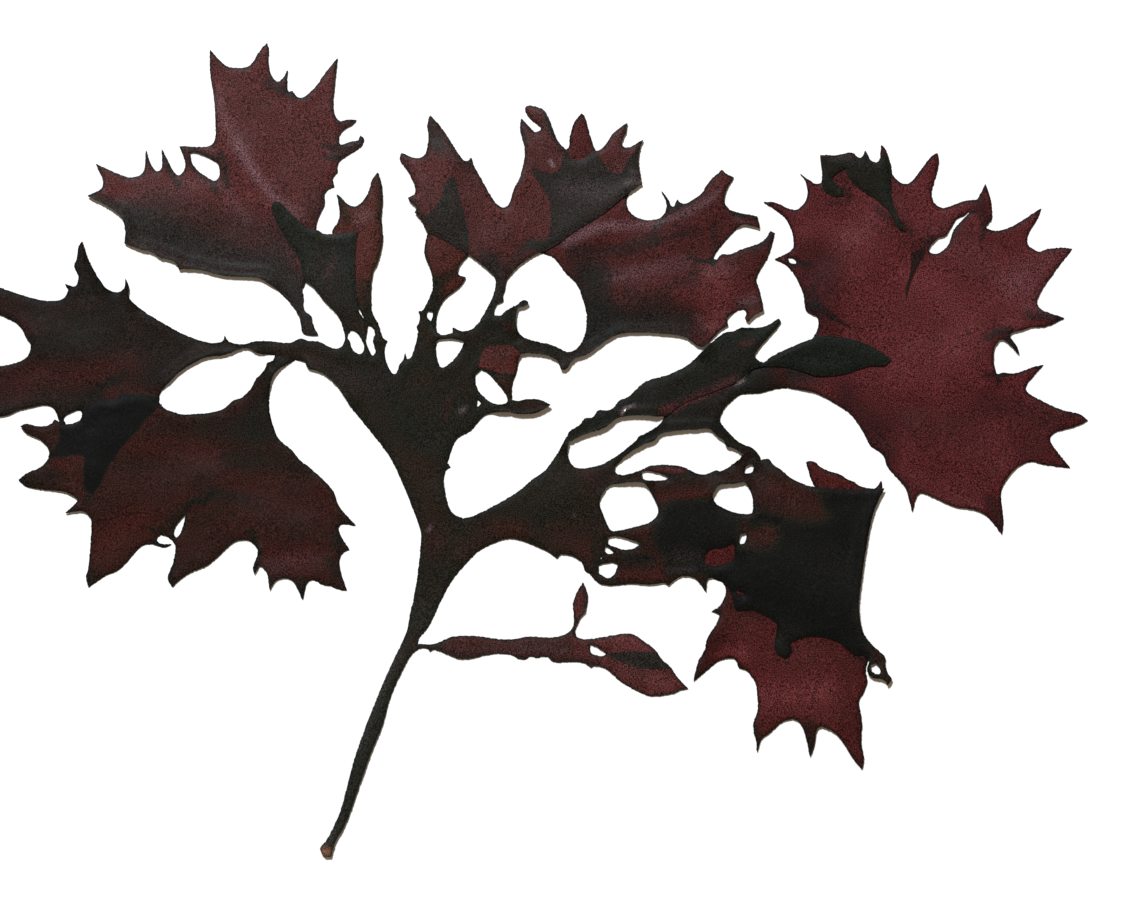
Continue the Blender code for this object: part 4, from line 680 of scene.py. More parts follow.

# %% [markdown]
# ## How deep the red is
# Red algae hold red and green pigments that soak up light. One layer on white looks dark red, two
# layers look nearly black: each layer takes the same share of what is left (Beer's law). So each
# spot gets a pigment depth, in layers of a plain red blade, and the law makes the colour of it.
# Depths blend across the forks, because the tissue is one. Some strokes are painted shade.

# %% Pigment depth
DEPTH = {"stipe": 2.5, "left_palm": 2.35, "right_palm": 2.15, "lateral_bladelet": 1.1,
         "far_left_blade": 2.15, "lower_left_blade": 1.6, "upper_left_blade": 1.06,
         "slim_left_blade": 2.5, "slim_pointed_blade": 1.1, "back_centre_blade": 1.15,
         "centre_blade": 1.15, "top_right_blade": 1.15, "small_leaf": 1.8, "dark_blade": 2.6,
         "right_stalk": 2.4, "right_blade": 0.97, "right_blade_fold": 1.5,
         "lower_right_front": 1.7, "lower_right_back": 1.17}
BLEND = 9.0                    # distance over which depths blend at a fork
LEAST_DEPTH = 0.3
MOTTLE = 0.07                  # unevenness of the pigment
TONES_AND_PAINTED_SHADE = {                      # path, half width, depth added or taken away; some are painted shade
    "upper_left_blade": [
        # painted shade: the lower margin stands off the paper, so the first three strokes darken it
        ([(-58, 163.6), (-50, 161)], 3.4, 0.8),
        ([(-48, 156.5), (-42, 154), (-34, 150.5), (-24, 147), (-14, 145), (-8, 140), (-5, 131)],
          8, 1.4), ([(-42, 160), (-24, 156), (-10, 152)], 9, 0.5),
        ([(-26, 174.5), (-25, 172), (-24.6, 167.5)], 1.7, 0.8),
        ([(-28.2, 168.2), (-27.2, 165.4)], 1.5, 0.8),
        ([(-35.6, 175.7), (-30, 174.6), (-26.6, 173.6)], 1.2, 0.5),
        ([(-40.5, 174.5), (-38.8, 170.4), (-36.2, 167)], 1.5, 0.8),
        ([(-44.3, 173), (-42.8, 170.6)], 1.1, 0.6),
        ([(-34.6, 174), (-33, 171), (-30, 168.6)], 1.1, 0.5),
        ([(-14, 192.5), (-11, 190.6), (-8, 189.8)], 2.3, 0.65),
        ([(-9.8, 194), (-9.3, 190.5)], 1.2, 0.6), ([(-7.5, 189), (-4.5, 188.4)], 1.4, 0.4),
        ([(0, 173.7), (4.4, 173.5)], 0.9, 0.6),
        ([(-0.8, 176.8), (4.4, 176.7), (9, 178.6)], 0.9, 0.5), ([(-1, 164), (-4, 157)], 4, 0.25),
        ([(2, 190), (2, 186)], 2.5, 0.15), ([(4, 182), (7.4, 183)], 1.2, 0.3)],
    "slim_left_blade": [
        ([(0.6, 144.4), (2, 147.6)], 1.8, -0.7), ([(7, 134.5), (8, 131.5)], 2, -0.45)],
    "slim_pointed_blade": [
        ([(4, 163), (5.4, 158)], 2, 0.5), ([(13.4, 168), (14, 160)], 1.5, 0.35),
        ([(13.6, 160), (13, 150), (12, 143)], 1.5, 0.2),
        ([(10, 142), (10, 137), (11, 132)], 3.4, 0.6)],
    "far_left_blade": [
        ([(-84, 118), (-66, 119.5), (-50, 121)], 9, -0.7), ([(-84, 112), (-76, 114)], 4, -0.3),
        ([(-84, 138), (-78, 136.5), (-74, 132)], 4.5, -0.4),
        ([(-74, 131), (-66, 131.5)], 4, -0.2), ([(-54, 114.6), (-42, 116)], 2.6, -0.6),
        ([(-61, 112), (-56, 116.6), (-50, 119.8)], 2.0, 0.6), ([(-66, 97), (-62, 95.5)], 4, -0.3),
        ([(-66, 136.5), (-56, 137)], 3.5, -0.2),
        ([(-76, 126), (-60, 127), (-46, 128)], 2.4, 0.15)],
    "lower_left_blade": [
        ([(-11, 121), (-14, 112), (-17, 108)], 6.5, 0.6),
        ([(-28, 107), (-16, 105), (-9, 104)], 6, 0.45),
        ([(-24, 98.5), (-12, 98), (-4, 96)], 3.6, 0.4), ([(-42, 106), (-30, 107)], 3, 0.2),
        ([(-48, 102), (-38, 101), (-28, 99.5)], 5, -0.2), ([(-26, 93), (-14, 91)], 5, -0.15),
        ([(-35, 86.4), (-32.8, 88.2), (-30.2, 87.9), (-28, 90)], 1.3, 1.2),
        ([(-28, 89.8), (-20, 88.6)], 2.4, 0.3), ([(-36.6, 85.4), (-38.6, 82)], 1.8, 0.4),
        ([(-43.5, 81), (-40, 80.4)], 1.5, 0.5),
        ([(-42.6, 78), (-40, 76.4), (-38.4, 76.6)], 1.0, 0.7),
        ([(-18.6, 80.6), (-16.8, 76), (-17.4, 71)], 1.4, 0.8), ([(1.2, 73), (3, 69.5)], 1.6, 0.5),
        ([(2.6, 79), (3.6, 76)], 2, 0.5), ([(-6, 68.4), (-5.6, 63.5)], 1.6, 0.7),
        ([(-58, 70), (-58.6, 67)], 1.4, 0.5), ([(-14, 74), (-3, 74)], 8, -0.25),
        ([(-34, 76), (-28, 80), (-20, 83)], 5, -0.12), ([(-37.8, 76.5), (-38.6, 68)], 1.3, 0.6),
        ([(-56, 78), (-46, 82)], 9, -0.35), ([(-10.2, 99.8), (-11.4, 100.2)], 1.6, 0.5),
        ([(-66, 97.6), (-61, 98)], 3.4, -0.3), ([(-76, 93), (-67, 94)], 3.4, 0.3),
        ([(-58, 92), (-59, 88)], 2.2, 0.4), ([(-40, 93), (-24, 91)], 2.5, 0.12),
        ([(-10, 87), (-1, 87)], 8, -0.2)],
    "left_palm": [
        ([(-2, 124), (8, 117), (14, 108), (20, 98)], 6, -0.35), ([(25, 94), (27, 78)], 10, -0.5),
        ([(27, 76), (27, 62)], 8, -0.15),
        ([(21.4, 103.6), (26.7, 100.8), (28.7, 104.2)], 0.7, 0.5),
        ([(32, 120), (36, 116)], 4, -0.2), ([(41, 147), (43, 141), (41, 133)], 5.5, 1.1),
        ([(56, 126), (60, 123.5), (66, 127)], 6, 1.0),
        ([(43.6, 132.8), (45, 131.9), (47, 131.2)], 1.5, -1.2),
        ([(43, 118.8), (46.2, 117), (46.4, 114)], 2.2, -0.6)],
    "right_palm": [
        ([(34, 76), (40, 80), (48, 81)], 6, -0.5), ([(58, 78), (67, 75)], 7, -0.5),
        ([(61.5, 97.5), (66, 95)], 2.6, -0.5), ([(50, 80), (60, 81)], 4, -0.2)],
    "centre_blade": [
        ([(41, 147), (43, 141), (41, 133)], 5.5, 1.1), ([(25.8, 184), (28, 177)], 3.6, 0.55),
        ([(28, 178), (36, 171.5)], 3.4, 0.35), ([(50, 151.6), (58, 152.6)], 3, 0.3),
        ([(48.6, 183), (50, 178)], 2, 0.4), ([(19.4, 175), (25, 174.6)], 2, 0.3),
        ([(55.4, 184), (57, 180), (60, 176)], 1.5, 0.9), ([(21, 163.6), (24, 159)], 1.5, 0.5),
        ([(44, 162), (38, 172)], 1.4, 0.2), ([(46, 146), (50, 151)], 2.4, 0.4),
        ([(64, 184.5), (64, 181)], 1.4, 0.3), ([(75, 182), (75, 178)], 1.3, 0.4)],
    "back_centre_blade": [
        ([(28, 143), (33, 145)], 2.2, 0.6), ([(27.4, 141), (27, 133)], 4, 1.0),
        ([(24.4, 150), (26.6, 142)], 1.4, 0.4)],
    "top_right_blade": [
        # painted shade: the first three strokes darken the lower part, which stands off the paper
        ([(66.5, 143), (68, 136), (70, 131)], 7, 1.15),
        ([(69, 131.5), (80, 133), (89, 132.4)], 7.5, 1.05),
        ([(56, 126), (60, 123.5), (66, 127)], 6, 1.0),
        ([(62, 150.5), (74, 150.6), (82, 153)], 3.2, 0.5), ([(82, 153), (93, 155.6)], 2.2, 0.3),
        ([(62, 147), (70, 145.5)], 4, 0.4), ([(82.2, 155.6), (84.8, 158.6)], 1.2, 1.0),
        ([(102.4, 159.8), (107.6, 158.8)], 1.4, 0.8), ([(98, 143), (97, 132)], 7, -0.2),
        ([(109, 137), (104, 137.4)], 2, 0.3), ([(95, 127), (94.5, 130)], 2.2, 0.3),
        ([(107.6, 151.6), (112, 155)], 2.4, 0.7), ([(85, 141), (93, 144), (92, 149)], 2.2, 0.25),
        ([(84.4, 165.4), (85.8, 160.6)], 1.3, 0.9), ([(88, 163), (88.4, 161)], 1.1, 0.7),
        ([(91, 162.5), (86, 160.6)], 1.6, 0.35), ([(76, 139.6), (86, 138.6)], 3, 0.3),
        ([(98, 150), (97, 157)], 1.6, 0.3)],
    "dark_blade": [
        ([(100, 129), (109, 130)], 3, 0.9), ([(104, 127.4), (107, 128)], 1.7, -1.5),
        ([(76, 110.8), (82, 110.8)], 2.6, -0.35), ([(84.3, 110.6), (87.6, 111.8)], 2.3, -1.5),
        ([(89.8, 112.9), (95, 115.4), (103, 118.6)], 1.7, -1.3),
        ([(112, 133.4), (108, 130)], 2, 0.3)],
    "right_stalk": [
        ([(86, 110.4), (90, 112.6), (101, 117.3)], 1.6, -1.4),
        ([(97, 111), (101, 112)], 3, -0.25), ([(108, 118.6), (114, 121)], 2.6, -0.2)],
    "right_blade": [
        ([(120, 124), (124, 134), (124, 150)], 9, 0.34), ([(116, 147.6), (121, 147)], 1.7, 0.6),
        ([(121, 140), (122, 136)], 3, 0.45), ([(112, 120.4), (122, 122)], 4.6, 0.6),
        ([(130, 113), (136, 107), (141, 100)], 5.5, 0.4),
        ([(150, 142), (158, 134), (160, 126)], 9, -0.12), ([(166, 112), (186, 108)], 7, 0.28),
        ([(172, 104), (184, 98)], 6, 0.15), ([(163.4, 164), (165, 158)], 2.4, 0.5),
        ([(165, 156.6), (164, 153)], 0.8, 0.9), ([(165, 119.5), (170.4, 119.8)], 1.2, 0.8),
        ([(169.2, 119.6), (168, 117)], 1.2, 0.6),
        ([(165.4, 129), (168.4, 130.4), (171.6, 130.4)], 1.3, 0.9),
        ([(169, 130), (173, 125.6)], 1.2, 0.6), ([(176, 134.4), (184, 133.6)], 2.2, 0.65),
        ([(166.4, 88), (168.8, 82)], 3, 0.55), ([(140, 98), (146.6, 90)], 2.6, 0.2),
        ([(122, 118), (132, 117)], 4, 0.1), ([(157, 154.6), (159, 158)], 2.2, 0.35),
        ([(151.6, 153.6), (147, 151.4)], 1.6, 0.4), ([(144, 157), (146.4, 155)], 1.8, 0.5),
        ([(138, 161), (144, 156.6)], 1.4, 0.5), ([(126, 163), (130, 162.4)], 1.6, 0.35),
        ([(120, 156), (134, 152)], 6, -0.1), ([(140, 108), (160, 108)], 10, 0.2),
        ([(127.8, 168.8), (129.6, 170), (130.4, 166.4)], 1.5, 0.3),
        ([(130.6, 165), (131.2, 163.6)], 1.7, 0.45), ([(131.4, 165.6), (135, 162.6)], 2.4, 0.1)],
    "right_blade_fold": [
        ([(138, 172.6), (141, 169)], 2, 0.3), ([(127, 170), (130, 166)], 3, -0.6),
        ([(139.2, 176.4), (139.4, 174.4)], 1.0, -1.4)],
    "lower_right_front": [
        ([(100, 66), (120, 62), (132, 52)], 7, 0.6), ([(134, 64), (137, 88)], 4, 0.5),
        ([(80, 96), (90, 95.8)], 1.3, -0.7), ([(84, 89), (95, 90)], 2.4, -0.4),
        ([(73, 70), (84, 69.2)], 1.6, -0.45), ([(74.6, 74), (81, 73.4)], 1.9, 0.8),
        ([(72, 84), (70, 92)], 3, 0.1), ([(108, 86), (113, 83)], 2.0, 0.6),
        ([(90, 95), (98, 94.4)], 1.6, 0.4), ([(110, 93), (118, 88), (124, 86)], 4.4, -0.2),
        ([(83, 71), (93, 74)], 3.4, -0.25), ([(84, 94.6), (92, 93)], 1.2, 0.4),
        ([(106, 80), (112, 79)], 3, -0.3), ([(70, 80), (83, 81)], 1.8, -0.2)],
    "lower_right_back": [
        ([(94, 44), (98, 53)], 3, 0.35), ([(99, 60.4), (97, 61)], 1.5, 0.6),
        ([(101, 48.4), (104, 46.4)], 1.5, 0.5), ([(108, 31), (108, 26)], 1.6, 0.4),
        ([(121, 32.6), (121.4, 25)], 1.8, 0.7), ([(136, 45.4), (141, 43.6)], 1.8, 0.8),
        ([(139, 49.5), (140.4, 45)], 1.3, 0.8), ([(133, 49), (137, 47.4)], 1.6, 0.5),
        ([(110, 40), (124, 40)], 8, -0.3), ([(98, 50), (104, 50)], 4, -0.3),
        ([(100, 62.6), (104, 59.8), (112, 59)], 1.2, 0.3)],
    "lateral_bladelet": [
        ([(26, 51.6), (60, 51.6)], 3.4, 0.35), ([(32, 49.4), (60, 48.4), (68, 47.6)], 1.6, 0.4),
        ([(82, 43), (86, 42)], 4, -0.2), ([(74, 52.5), (80, 52.5)], 2.5, -0.1),
        ([(64.8, 67), (65.2, 61)], 1.2, 0.4), ([(62.4, 58), (62.2, 55)], 1.5, 0.4),
        ([(70, 45), (78, 42)], 2, -0.1)],
    "stipe": [],
    "small_leaf": [([(48, 112.5), (54, 112.3)], 1.4, -0.2)],
}


def blended(node, points, values, usual=1.0):
    """A node's own value, easing to halfway to its neighbour's at each fork."""
    own = values.get(node, usual)
    result = np.full(len(points), float(own))
    for one, other, path in FORKS:
        if node in (one, other):
            neighbour = other if node == one else one
            share = 0.5 * near_path(points, path, BLEND)
            result += (values.get(neighbour, usual) - own) * share
    return result


def depth_of(node, points):
    """Pigment depth of one layer of a node's tissue, with its painted shade."""
    depth = blended(node, points, DEPTH)
    for path, width, amount in TONES_AND_PAINTED_SHADE.get(node, []):
        depth += amount * near_path(points, path, width)
    mottle = soft_noise(points, 9, 21) + 0.6 * soft_noise(points, 3.6, 22)
    return np.maximum(depth * (1 + MOTTLE * mottle), LEAST_DEPTH)


VEIL = {"lower_right_front": 2.2, "right_blade_fold": 0.9}    # softness of margins seen through
THIN_VEIL = 0.5                # the same for all other blades
JOINED = [(84.4, 108.8), (85, 109.8), (90, 112.8), (101, 117.5)]    # margins grown together
JOINED_REACH = 2.2


def apart(points):
    """0 where two margins have grown together into one layer, easing to 1 away from there."""
    return smooth(path_distance(points, segments_of(JOINED)) / JOINED_REACH)


def layers_of(node, place, triangles):
    """Depth at each triangle's corners: the node's own, plus that of each blade over or under it
    where the triangle lies within that blade, plus folds. A margin seen through the blade above
    it is a little soft, by the width in VEIL."""
    depth = depth_of(node, place)[triangles]
    middle = place[triangles].mean(axis=1)
    others = [under for over, unders in LIES_OVER.items() for under in unders if over == node]
    others += [over for over, unders in LIES_OVER.items() if node in unders]
    for other in others:
        if other in LIES_OVER.get(node, []):
            loops = loops_of(other)
            away = edge_distance(place, *edges_of(FINE[other], free_only=False))
            signed = np.where(within_sheet(place, loops), away, -away)
            seen = smooth(0.5 + signed / VEIL.get(node, THIN_VEIL))
            depth += (depth_of(other, place) * seen * apart(place))[triangles]
        else:
            double = within_sheet(middle, loops_of(other))
            depth[double] += (depth_of(other, place) * apart(place))[triangles[double]]
    for outline, extra in FOLD_LINES.get(node, []):
        depth[inside(middle, outline)] += extra
    return depth


# %% [markdown]
# The law, in linear light: painted grey reflection and painted pinkish sheen, plus the white paper
# seen through the tissue, less a share of red, green and blue that grows with depth.

# %% Colour law
# painted surface reflection: a thin grey haze added to every colour
PAINTED_REFLECTION = np.array([0.0056, 0.0070, 0.0042])
SHEEN_COLOUR = np.array([0.036, 0.026, 0.030])    # painted sheen: a paler, pinkish colour where the surface catches the light
PAPER = 0.6
TAKEN = np.array([2.32, 4.5, 4.35])    # how strongly a layer takes red, green and blue
MARGIN_DARK, MARGIN_REACH = 0.9, 0.75    # a margin is darker: partly its thicker skin, partly painted shade where it curls
RIM_DEPTH = 1.0                # what a rim's own face adds

# each node's share of painted sheen, a pale pinkish highlight put into the colour
PAINTED_SHEEN = {"upper_left_blade": 0.24, "centre_blade": 0.2, "top_right_blade": 0.12, "stipe": 0.05,
          "right_blade": 0.1, "slim_left_blade": 0.1, "far_left_blade": 0.05,
          "lateral_bladelet": 0.15}
PAINTED_SHEEN_STROKES = {             # path, half width, amount of painted sheen; the short strong ones are painted glints
    "upper_left_blade": [
        ([(-27, 188), (-24.4, 182), (-21.6, 177), (-19.4, 173), (-17, 169), (-12.4, 163.6),
          (-6.6, 159.4)], 2.9, 0.75), ([(-21.6, 177), (-19, 172), (-16.6, 168.6)], 1.7, 0.7),
        ([(-15, 166.4), (-11.4, 163)], 1.6, 0.4),
        ([(-25, 166), (-22.5, 162), (-19.5, 158.5)], 2.4, 0.4),
        ([(-47, 165.6), (-34, 167)], 5, 0.15), ([(-9, 187.4), (-8.4, 186.6)], 1, 0.8),
        ([(-29.6, 176), (-27.4, 175)], 1.2, 0.5), ([(0.5, 175.2), (3.6, 175)], 1.2, 0.3)],
    "slim_left_blade": [([(0.4, 144.4), (1.2, 146.6), (2.6, 148)], 1.6, 0.2)],
    "slim_pointed_blade": [
        ([(8.4, 158.4), (10.4, 159.6)], 2.6, 0.9), ([(11.4, 165.6), (11.8, 163.6)], 0.9, 0.6)],
    "centre_blade": [
        ([(56.5, 173), (57, 171.4)], 0.6, 3.2), ([(75.4, 167.4), (78.3, 168)], 1.4, 1.0),
        ([(76.6, 170.4), (78, 170)], 1, 0.5), ([(60, 166), (70, 165.6)], 4, 0.4)],
    "top_right_blade": [
        ([(60, 152.8), (68, 156.4), (76, 157), (83, 157.4)], 2.4, 1.1),
        ([(64, 154.8), (72, 157)], 1.4, 0.4),
        ([(84.5, 158), (88, 159.6), (94, 162.4), (98.6, 165.4)], 1.1, 0.9),
        ([(86, 158.2), (92, 160), (97, 163.6)], 0.9, 0.7),
        ([(72, 144), (80, 144.8), (90, 148)], 3.4, 0.45), ([(76, 146), (84, 147)], 1.6, 0.3),
        ([(96, 145.6), (101, 146)], 3, 0.45), ([(104, 137.6), (107, 138.6)], 2, 0.7),
        ([(93, 134.4), (95, 132)], 1.4, 0.4)],
    "right_blade": [
        ([(172, 143), (182, 149)], 6.5, 0.35), ([(175, 136.4), (181, 134.6)], 2.2, 0.4),
        ([(156, 152), (168, 144), (176, 140)], 8, 0.2), ([(136, 158), (128, 152)], 5, 0.1)],
    "right_blade_fold": [([(127, 174), (132, 173.6)], 2, 0.3)],
    "lateral_bladelet": [([(74, 46), (84, 43)], 3, 0.2), ([(40, 51), (60, 51)], 2, 0.25)],
    "lower_left_blade": [([(-16, 72), (-2, 73)], 4, 0.25)],
    "stipe": [([(0, 0), (1.6, 5)], 3, 0.3), ([(8, 26), (12, 36), (18, 50)], 1.4, 0.35)],
    "right_stalk": [
        ([(102.8, 117.3), (104.6, 118.4)], 0.8, 3.0),
        ([(85, 110.8), (90, 113), (103, 118.4)], 2.2, 0.3)],
    "dark_blade": [
        ([(74.2, 109.8), (74.8, 111.2), (76.6, 111.8)], 0.7, 3.4),
        ([(85, 110.8), (90, 113), (103, 118.4)], 2.2, 0.3)],
    "left_palm": [
        ([(33.6, 110.4), (34.8, 111.2)], 1.0, 1.6), ([(26, 80.8), (26.5, 81.4)], 0.8, 1.2),
        ([(41, 125), (46, 125)], 2, 0.25), ([(4, 118), (14, 118)], 6, 0.12)],
    "right_palm": [([(62.2, 84.9), (62.3, 85)], 0.6, 6.0)],
    "lower_right_front": [([(86, 75), (95, 73)], 3, 0.15), ([(86, 70.6), (92, 71)], 1.4, 0.4)],
}
REFLECTION_SHARE = {"left_palm": 1.12, "right_palm": 1.1, "lower_right_front": 0.88,
        "lower_left_blade": 0.85, "far_left_blade": 0.8, "dark_blade": 0.85, "right_stalk": 0.72,
        "right_blade": 0.3, "top_right_blade": 0.7, "lower_right_back": 0.6,
        "right_blade_fold": 1.05, "slim_left_blade": 1.2, "back_centre_blade": 1.3,
        "slim_pointed_blade": 1.6, "stipe": 1.5}    # a node's share of the painted surface reflection
CLEAR_DOUBLES = ("lower_right_front", "lower_left_blade", "far_left_blade")
CLEARED = 0.7                  # share of the painted reflection lost where those are double, and so press flat
CLEAR_FROM, CLEAR_REACH = 2.3, 0.8    # depth from which that counts as double, and its easing
WORN_END, WORN_REACH = (0.3, 0.5), 1.9
WORN_BROWN = np.array([0.20, 0.092, 0.053])


def painted_sheen_of(node, points):
    """Painted sheen: a node's own share plus soft strokes."""
    amount = np.full(len(points), PAINTED_SHEEN.get(node, 0.0))
    for path, width, more in PAINTED_SHEEN_STROKES.get(node, []):
        amount += more * near_path(points, path, width)
    return amount


def law(depth, sheen, reflected):
    """Painted reflection + painted sheen + paper times e to the minus (taken times depth)."""
    sheen = np.asarray(sheen)[..., None]
    return PAINTED_REFLECTION * reflected + SHEEN_COLOUR * sheen + PAPER * np.exp(-TAKEN * depth[..., None])


def paint(node):
    """Give a tissue its colour, corner by corner, on both sides and on the rim."""
    piece, place, triangles = TISSUES[node]
    depth = layers_of(node, place, triangles)
    edge = free_distance(node, place)
    # darker along free margins: thicker skin and painted shade
    depth += (MARGIN_DARK * apart(place) * (1 - smooth(edge / MARGIN_REACH)))[triangles]
    reflected = blended(node, place, REFLECTION_SHARE)[triangles]
    if node in CLEAR_DOUBLES:
        reflected = reflected * (1 - CLEARED * smooth((depth - CLEAR_FROM) / CLEAR_REACH))
    # the colour carries painted reflection and painted sheen
    shade = law(depth, painted_sheen_of(node, place)[triangles], reflected[..., None])
    if node == "stipe":
        worn = 1 - smooth(np.hypot(*(place - WORN_END).T) / WORN_REACH)
        shade += (WORN_BROWN - shade) * worn[triangles][..., None]
    rim_colour = law(np.array(DEPTH[node] + RIM_DEPTH), 0.0, REFLECTION_SHARE.get(node, 1.0))
    rim_shade = np.broadcast_to(rim_colour, (4 * len(rim_edges(triangles)), 3))
    colours = np.concatenate([shade.reshape(-1, 3), shade[:, ::-1].reshape(-1, 3), rim_shade])
    attribute = piece.data.color_attributes.new("tissue_colour", "FLOAT_COLOR", "CORNER")
    values = np.column_stack([colours, np.ones(len(colours))]).astype(np.float32)
    attribute.data.foreach_set("color", values.ravel())
    return depth


for node in TISSUES:
    depth = paint(node)
    print(node, "pigment depth", np.round(np.percentile(depth, [5, 50, 95]), 2))

# %% [markdown]
# ## Finish
# Wet tissue has a soft satin gloss. Grain comes from one noise, for the cells' unevenness of
# colour, and tiny wrinkles from another. Grain that only scaled the colour would vanish where the
# tissue is dark, so a little light is added before the scaling and taken away after it.

# %% Materials
GRAIN_SCALE, WRINKLE_SCALE = 3400, 420    # how fine the two noises are
GRAIN_LOW, GRAIN_HIGH, GRAIN_MOST = 0.40, 0.60, 2.0    # noise low to high scales by 0 to most
DARK_GRAIN = 0.004             # grain that stays where the tissue is dark
LEAST_COLOUR = 0.0005          # no speck is darker than this
ROUGH_SPREAD = 0.1             # unevenness of the gloss
WRINKLE_DEPTH = 0.00025        # in metres


def set_inputs(node, values):
    """Set a shader node's inputs, which are given by name."""
    for name, value in values.items():
        node.inputs[name].default_value = value
    return node


def scaled(nodes, links, value, low, high, start=0.0, end=1.0):
    """Turn a value from start to end into one from low to high."""
    change = set_inputs(nodes.new("ShaderNodeMapRange"),
                        {"From Min": start, "From Max": end, "To Min": low, "To Max": high})
    links.new(value, change.inputs["Value"])
    return change.outputs["Result"]


def tissue_material(name, roughness, gloss, wrinkle):
    """Principled tissue: the painted colour times a fine grain, noise on roughness, and bump."""
    material = bpy.data.materials.new(name)
    material.use_nodes = True
    nodes, links = material.node_tree.nodes, material.node_tree.links
    shader = set_inputs(nodes["Principled BSDF"], {"Specular IOR Level": gloss})
    grain = set_inputs(nodes.new("ShaderNodeTexNoise"),
                       {"Scale": GRAIN_SCALE, "Detail": 3, "Roughness": 0.65})
    wrinkles = set_inputs(nodes.new("ShaderNodeTexNoise"), {"Scale": WRINKLE_SCALE, "Detail": 4})
    where = nodes.new("ShaderNodeTexCoord")
    for noise in (grain, wrinkles):
        links.new(where.outputs["Object"], noise.inputs["Vector"])
    amount = scaled(nodes, links, grain.outputs["Fac"], 0.0, GRAIN_MOST, GRAIN_LOW, GRAIN_HIGH)
    colour = nodes.new("ShaderNodeAttribute")
    colour.attribute_name = "tissue_colour"
    grained = colour.outputs["Color"]
    for operation, value in (("ADD", DARK_GRAIN), ("SCALE", None), ("SUBTRACT", DARK_GRAIN),
                             ("MAXIMUM", LEAST_COLOUR)):
        step = nodes.new("ShaderNodeVectorMath")
        step.operation = operation
        links.new(grained, step.inputs[0])
        if operation == "SCALE":
            links.new(amount, step.inputs["Scale"])
        else:
            step.inputs[1].default_value = (value, value, value)
        grained = step.outputs["Vector"]
    links.new(grained, shader.inputs["Base Color"])
    rough = scaled(nodes, links, wrinkles.outputs["Fac"],
                   roughness - ROUGH_SPREAD, roughness + ROUGH_SPREAD)
    links.new(rough, shader.inputs["Roughness"])
    bump = set_inputs(nodes.new("ShaderNodeBump"),
                      {"Strength": wrinkle, "Distance": WRINKLE_DEPTH})
    links.new(wrinkles.outputs["Fac"], bump.inputs["Height"])
    links.new(bump.outputs["Normal"], shader.inputs["Normal"])
    return material


FINISHES = {                   # roughness, gloss, wrinkles
    "stipe": (0.55, 0.05, 0.5),
    "palm": (0.5, 0.04, 0.4),
    "dark_blade": (0.5, 0.04, 0.4),
    "red_blade": (0.5, 0.04, 0.4),
    "plum_blade": (0.45, 0.05, 0.35),
}
MATERIALS = {slot: tissue_material("seaweed_" + slot, *values)
             for slot, values in FINISHES.items()}
SLOTS = {part["node"]: part["material_slot"] for part in frame["record"]["subparts"]}
for node, (piece, _, _) in TISSUES.items():
    piece.data.materials.append(MATERIALS[SLOTS[node]])
    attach(piece, "root")
    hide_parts(node)
print("finishes:", sorted(set(SLOTS.values())))

# %% [markdown]
# ## Table, light and camera
# The plant lies on a white table. A white floor keeps a soft shadow, and a little light of its own
# that only the camera and mirrors see brings the lit floor up to white. The sky is even, soft and
# warm, so shadows are brown. One lamp from the upper left is as much cooler, so what it lights is
# neutral, and it gives the folds their modelling.

# %% Floor and sky
def seen_directly(nodes, links):
    """1 for rays from the camera, mirrors and glass, and 0 for rays that only carry light."""
    path = nodes.new("ShaderNodeLightPath")
    total = path.outputs["Is Camera Ray"]
    for name in ("Is Glossy Ray", "Is Transmission Ray"):
        highest = nodes.new("ShaderNodeMath")
        highest.operation = "MAXIMUM"
        links.new(total, highest.inputs[0])
        links.new(path.outputs[name], highest.inputs[1])
        total = highest.outputs["Value"]
    return total


FLOOR_HALF = 3.0
FLOOR_DROP = 0.00005           # how far below the plant's lowest plane the table lies
FLOOR_WHITE, FLOOR_GLOW = 0.96, 0.025
SKY_LIGHT = 0.18               # strength of the sky's light, against 1 where it is seen
SKY_TINT = (1.0, 0.72, 0.44)   # its warmth; the lamp is as much cooler
floor_mesh = bpy.data.meshes.new("table")
floor_corners = [(x * FLOOR_HALF, y * FLOOR_HALF, -FLOOR_DROP)
                 for x, y in ((-1, -1), (1, -1), (1, 1), (-1, 1))]
floor_mesh.from_pydata(floor_corners, [], [(0, 1, 2, 3)])
floor = placed("table", floor_mesh)
table_white = bpy.data.materials.new("table_white")
table_white.use_nodes = True
nodes, links = table_white.node_tree.nodes, table_white.node_tree.links
shader = set_inputs(nodes["Principled BSDF"], {
    "Base Color": (FLOOR_WHITE, FLOOR_WHITE, FLOOR_WHITE, 1), "Roughness": 0.9,
    "Specular IOR Level": 0, "Emission Color": (1, 1, 1, 1)})
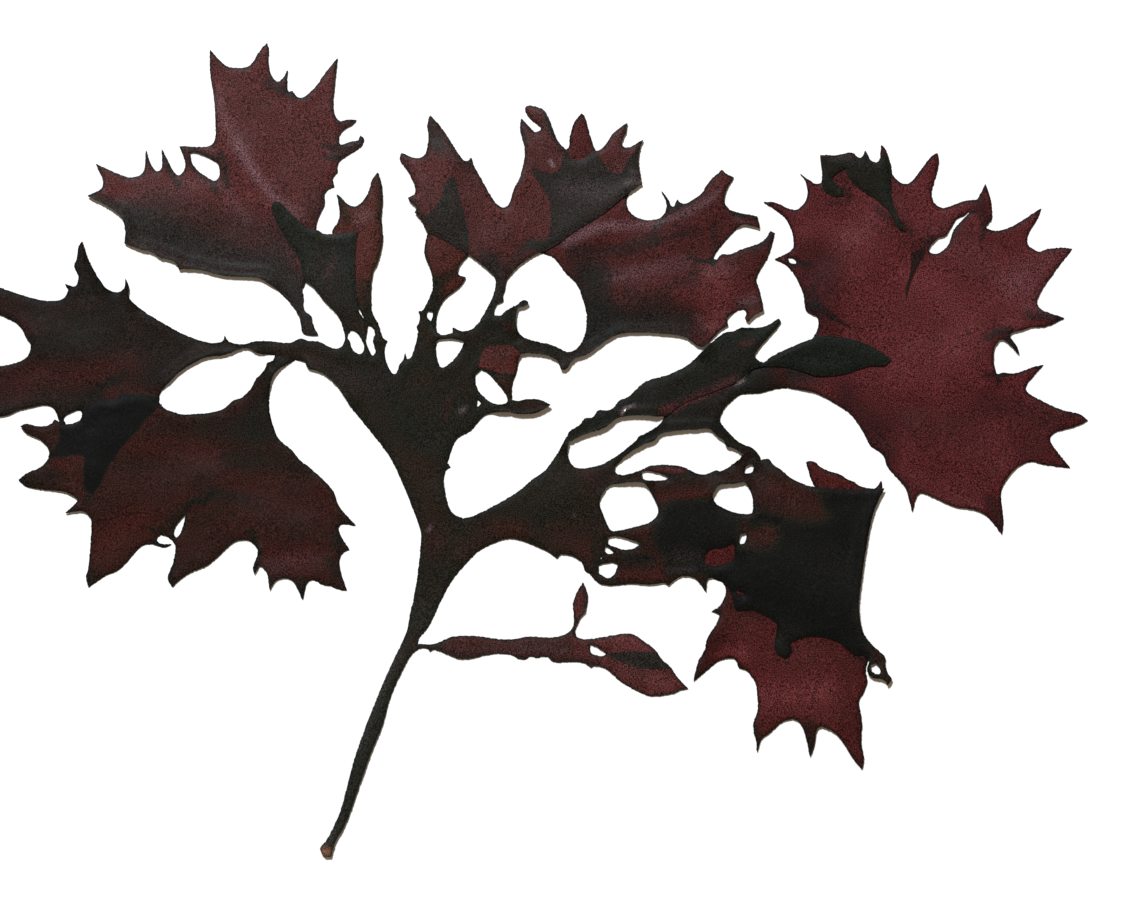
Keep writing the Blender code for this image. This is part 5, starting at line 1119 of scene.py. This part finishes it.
glow = scaled(nodes, links, seen_directly(nodes, links), 0.0, FLOOR_GLOW)
links.new(glow, shader.inputs["Emission Strength"])
floor_mesh.materials.append(table_white)

sky = bpy.data.worlds.new("sky")
bpy.context.scene.world = sky
sky.use_nodes = True
nodes, links = sky.node_tree.nodes, sky.node_tree.links
background = nodes["Background"]
seen = seen_directly(nodes, links)
tint = nodes.new("ShaderNodeMix")
tint.data_type = "RGBA"
for socket in tint.inputs:
    if socket.type == "RGBA":
        socket.default_value = (1, 1, 1, 1) if socket.name == "B" else (*SKY_TINT, 1)
links.new(seen, tint.inputs[0])
tinted = next(socket for socket in tint.outputs if socket.type == "RGBA")
links.new(tinted, background.inputs["Color"])
links.new(scaled(nodes, links, seen, SKY_LIGHT, 1.0), background.inputs["Strength"])
print("floor", floor.name, "and sky ready")

# %% Lamp and camera
def look_at(place, target):
    """Turn that points -Z from a place to a target."""
    return (Vector(target) - Vector(place)).to_track_quat("-Z", "Y").to_euler()


LAMP_PLACE = (-0.44, 1.26, 2.30)
LAMP_SIZE, LAMP_POWER = 0.34, 84.8
LAMP_COLOUR = (0.904, 0.951, 1.0)    # as much cooler than white as the sky is warmer
lamp_light = bpy.data.lights.new("window", "AREA")
lamp_light.shape = "DISK"
lamp_light.size = LAMP_SIZE
lamp_light.energy = LAMP_POWER
lamp_light.color = LAMP_COLOUR
lamp = placed("window", lamp_light)
lamp.location = LAMP_PLACE
lamp.rotation_euler = look_at(LAMP_PLACE, (0, 0, 0))

VIEW_WIDTH = 0.2815            # width of table that the camera sees
VIEW_MIDDLE = (0.0094, 0.000075)    # the place on the table below the camera
LENS, SENSOR = 200.0, 36.0
camera_data = bpy.data.cameras.new("camera")
camera_data.lens = LENS
camera_data.sensor_width = SENSOR
camera_data.clip_end = 20
camera = placed("camera", camera_data)
camera.location = (*VIEW_MIDDLE, VIEW_WIDTH * LENS / SENSOR)
bpy.context.scene.camera = camera
bpy.context.scene.view_settings.view_transform = "Standard"
print("camera height", round(camera.location.z, 3), "m")
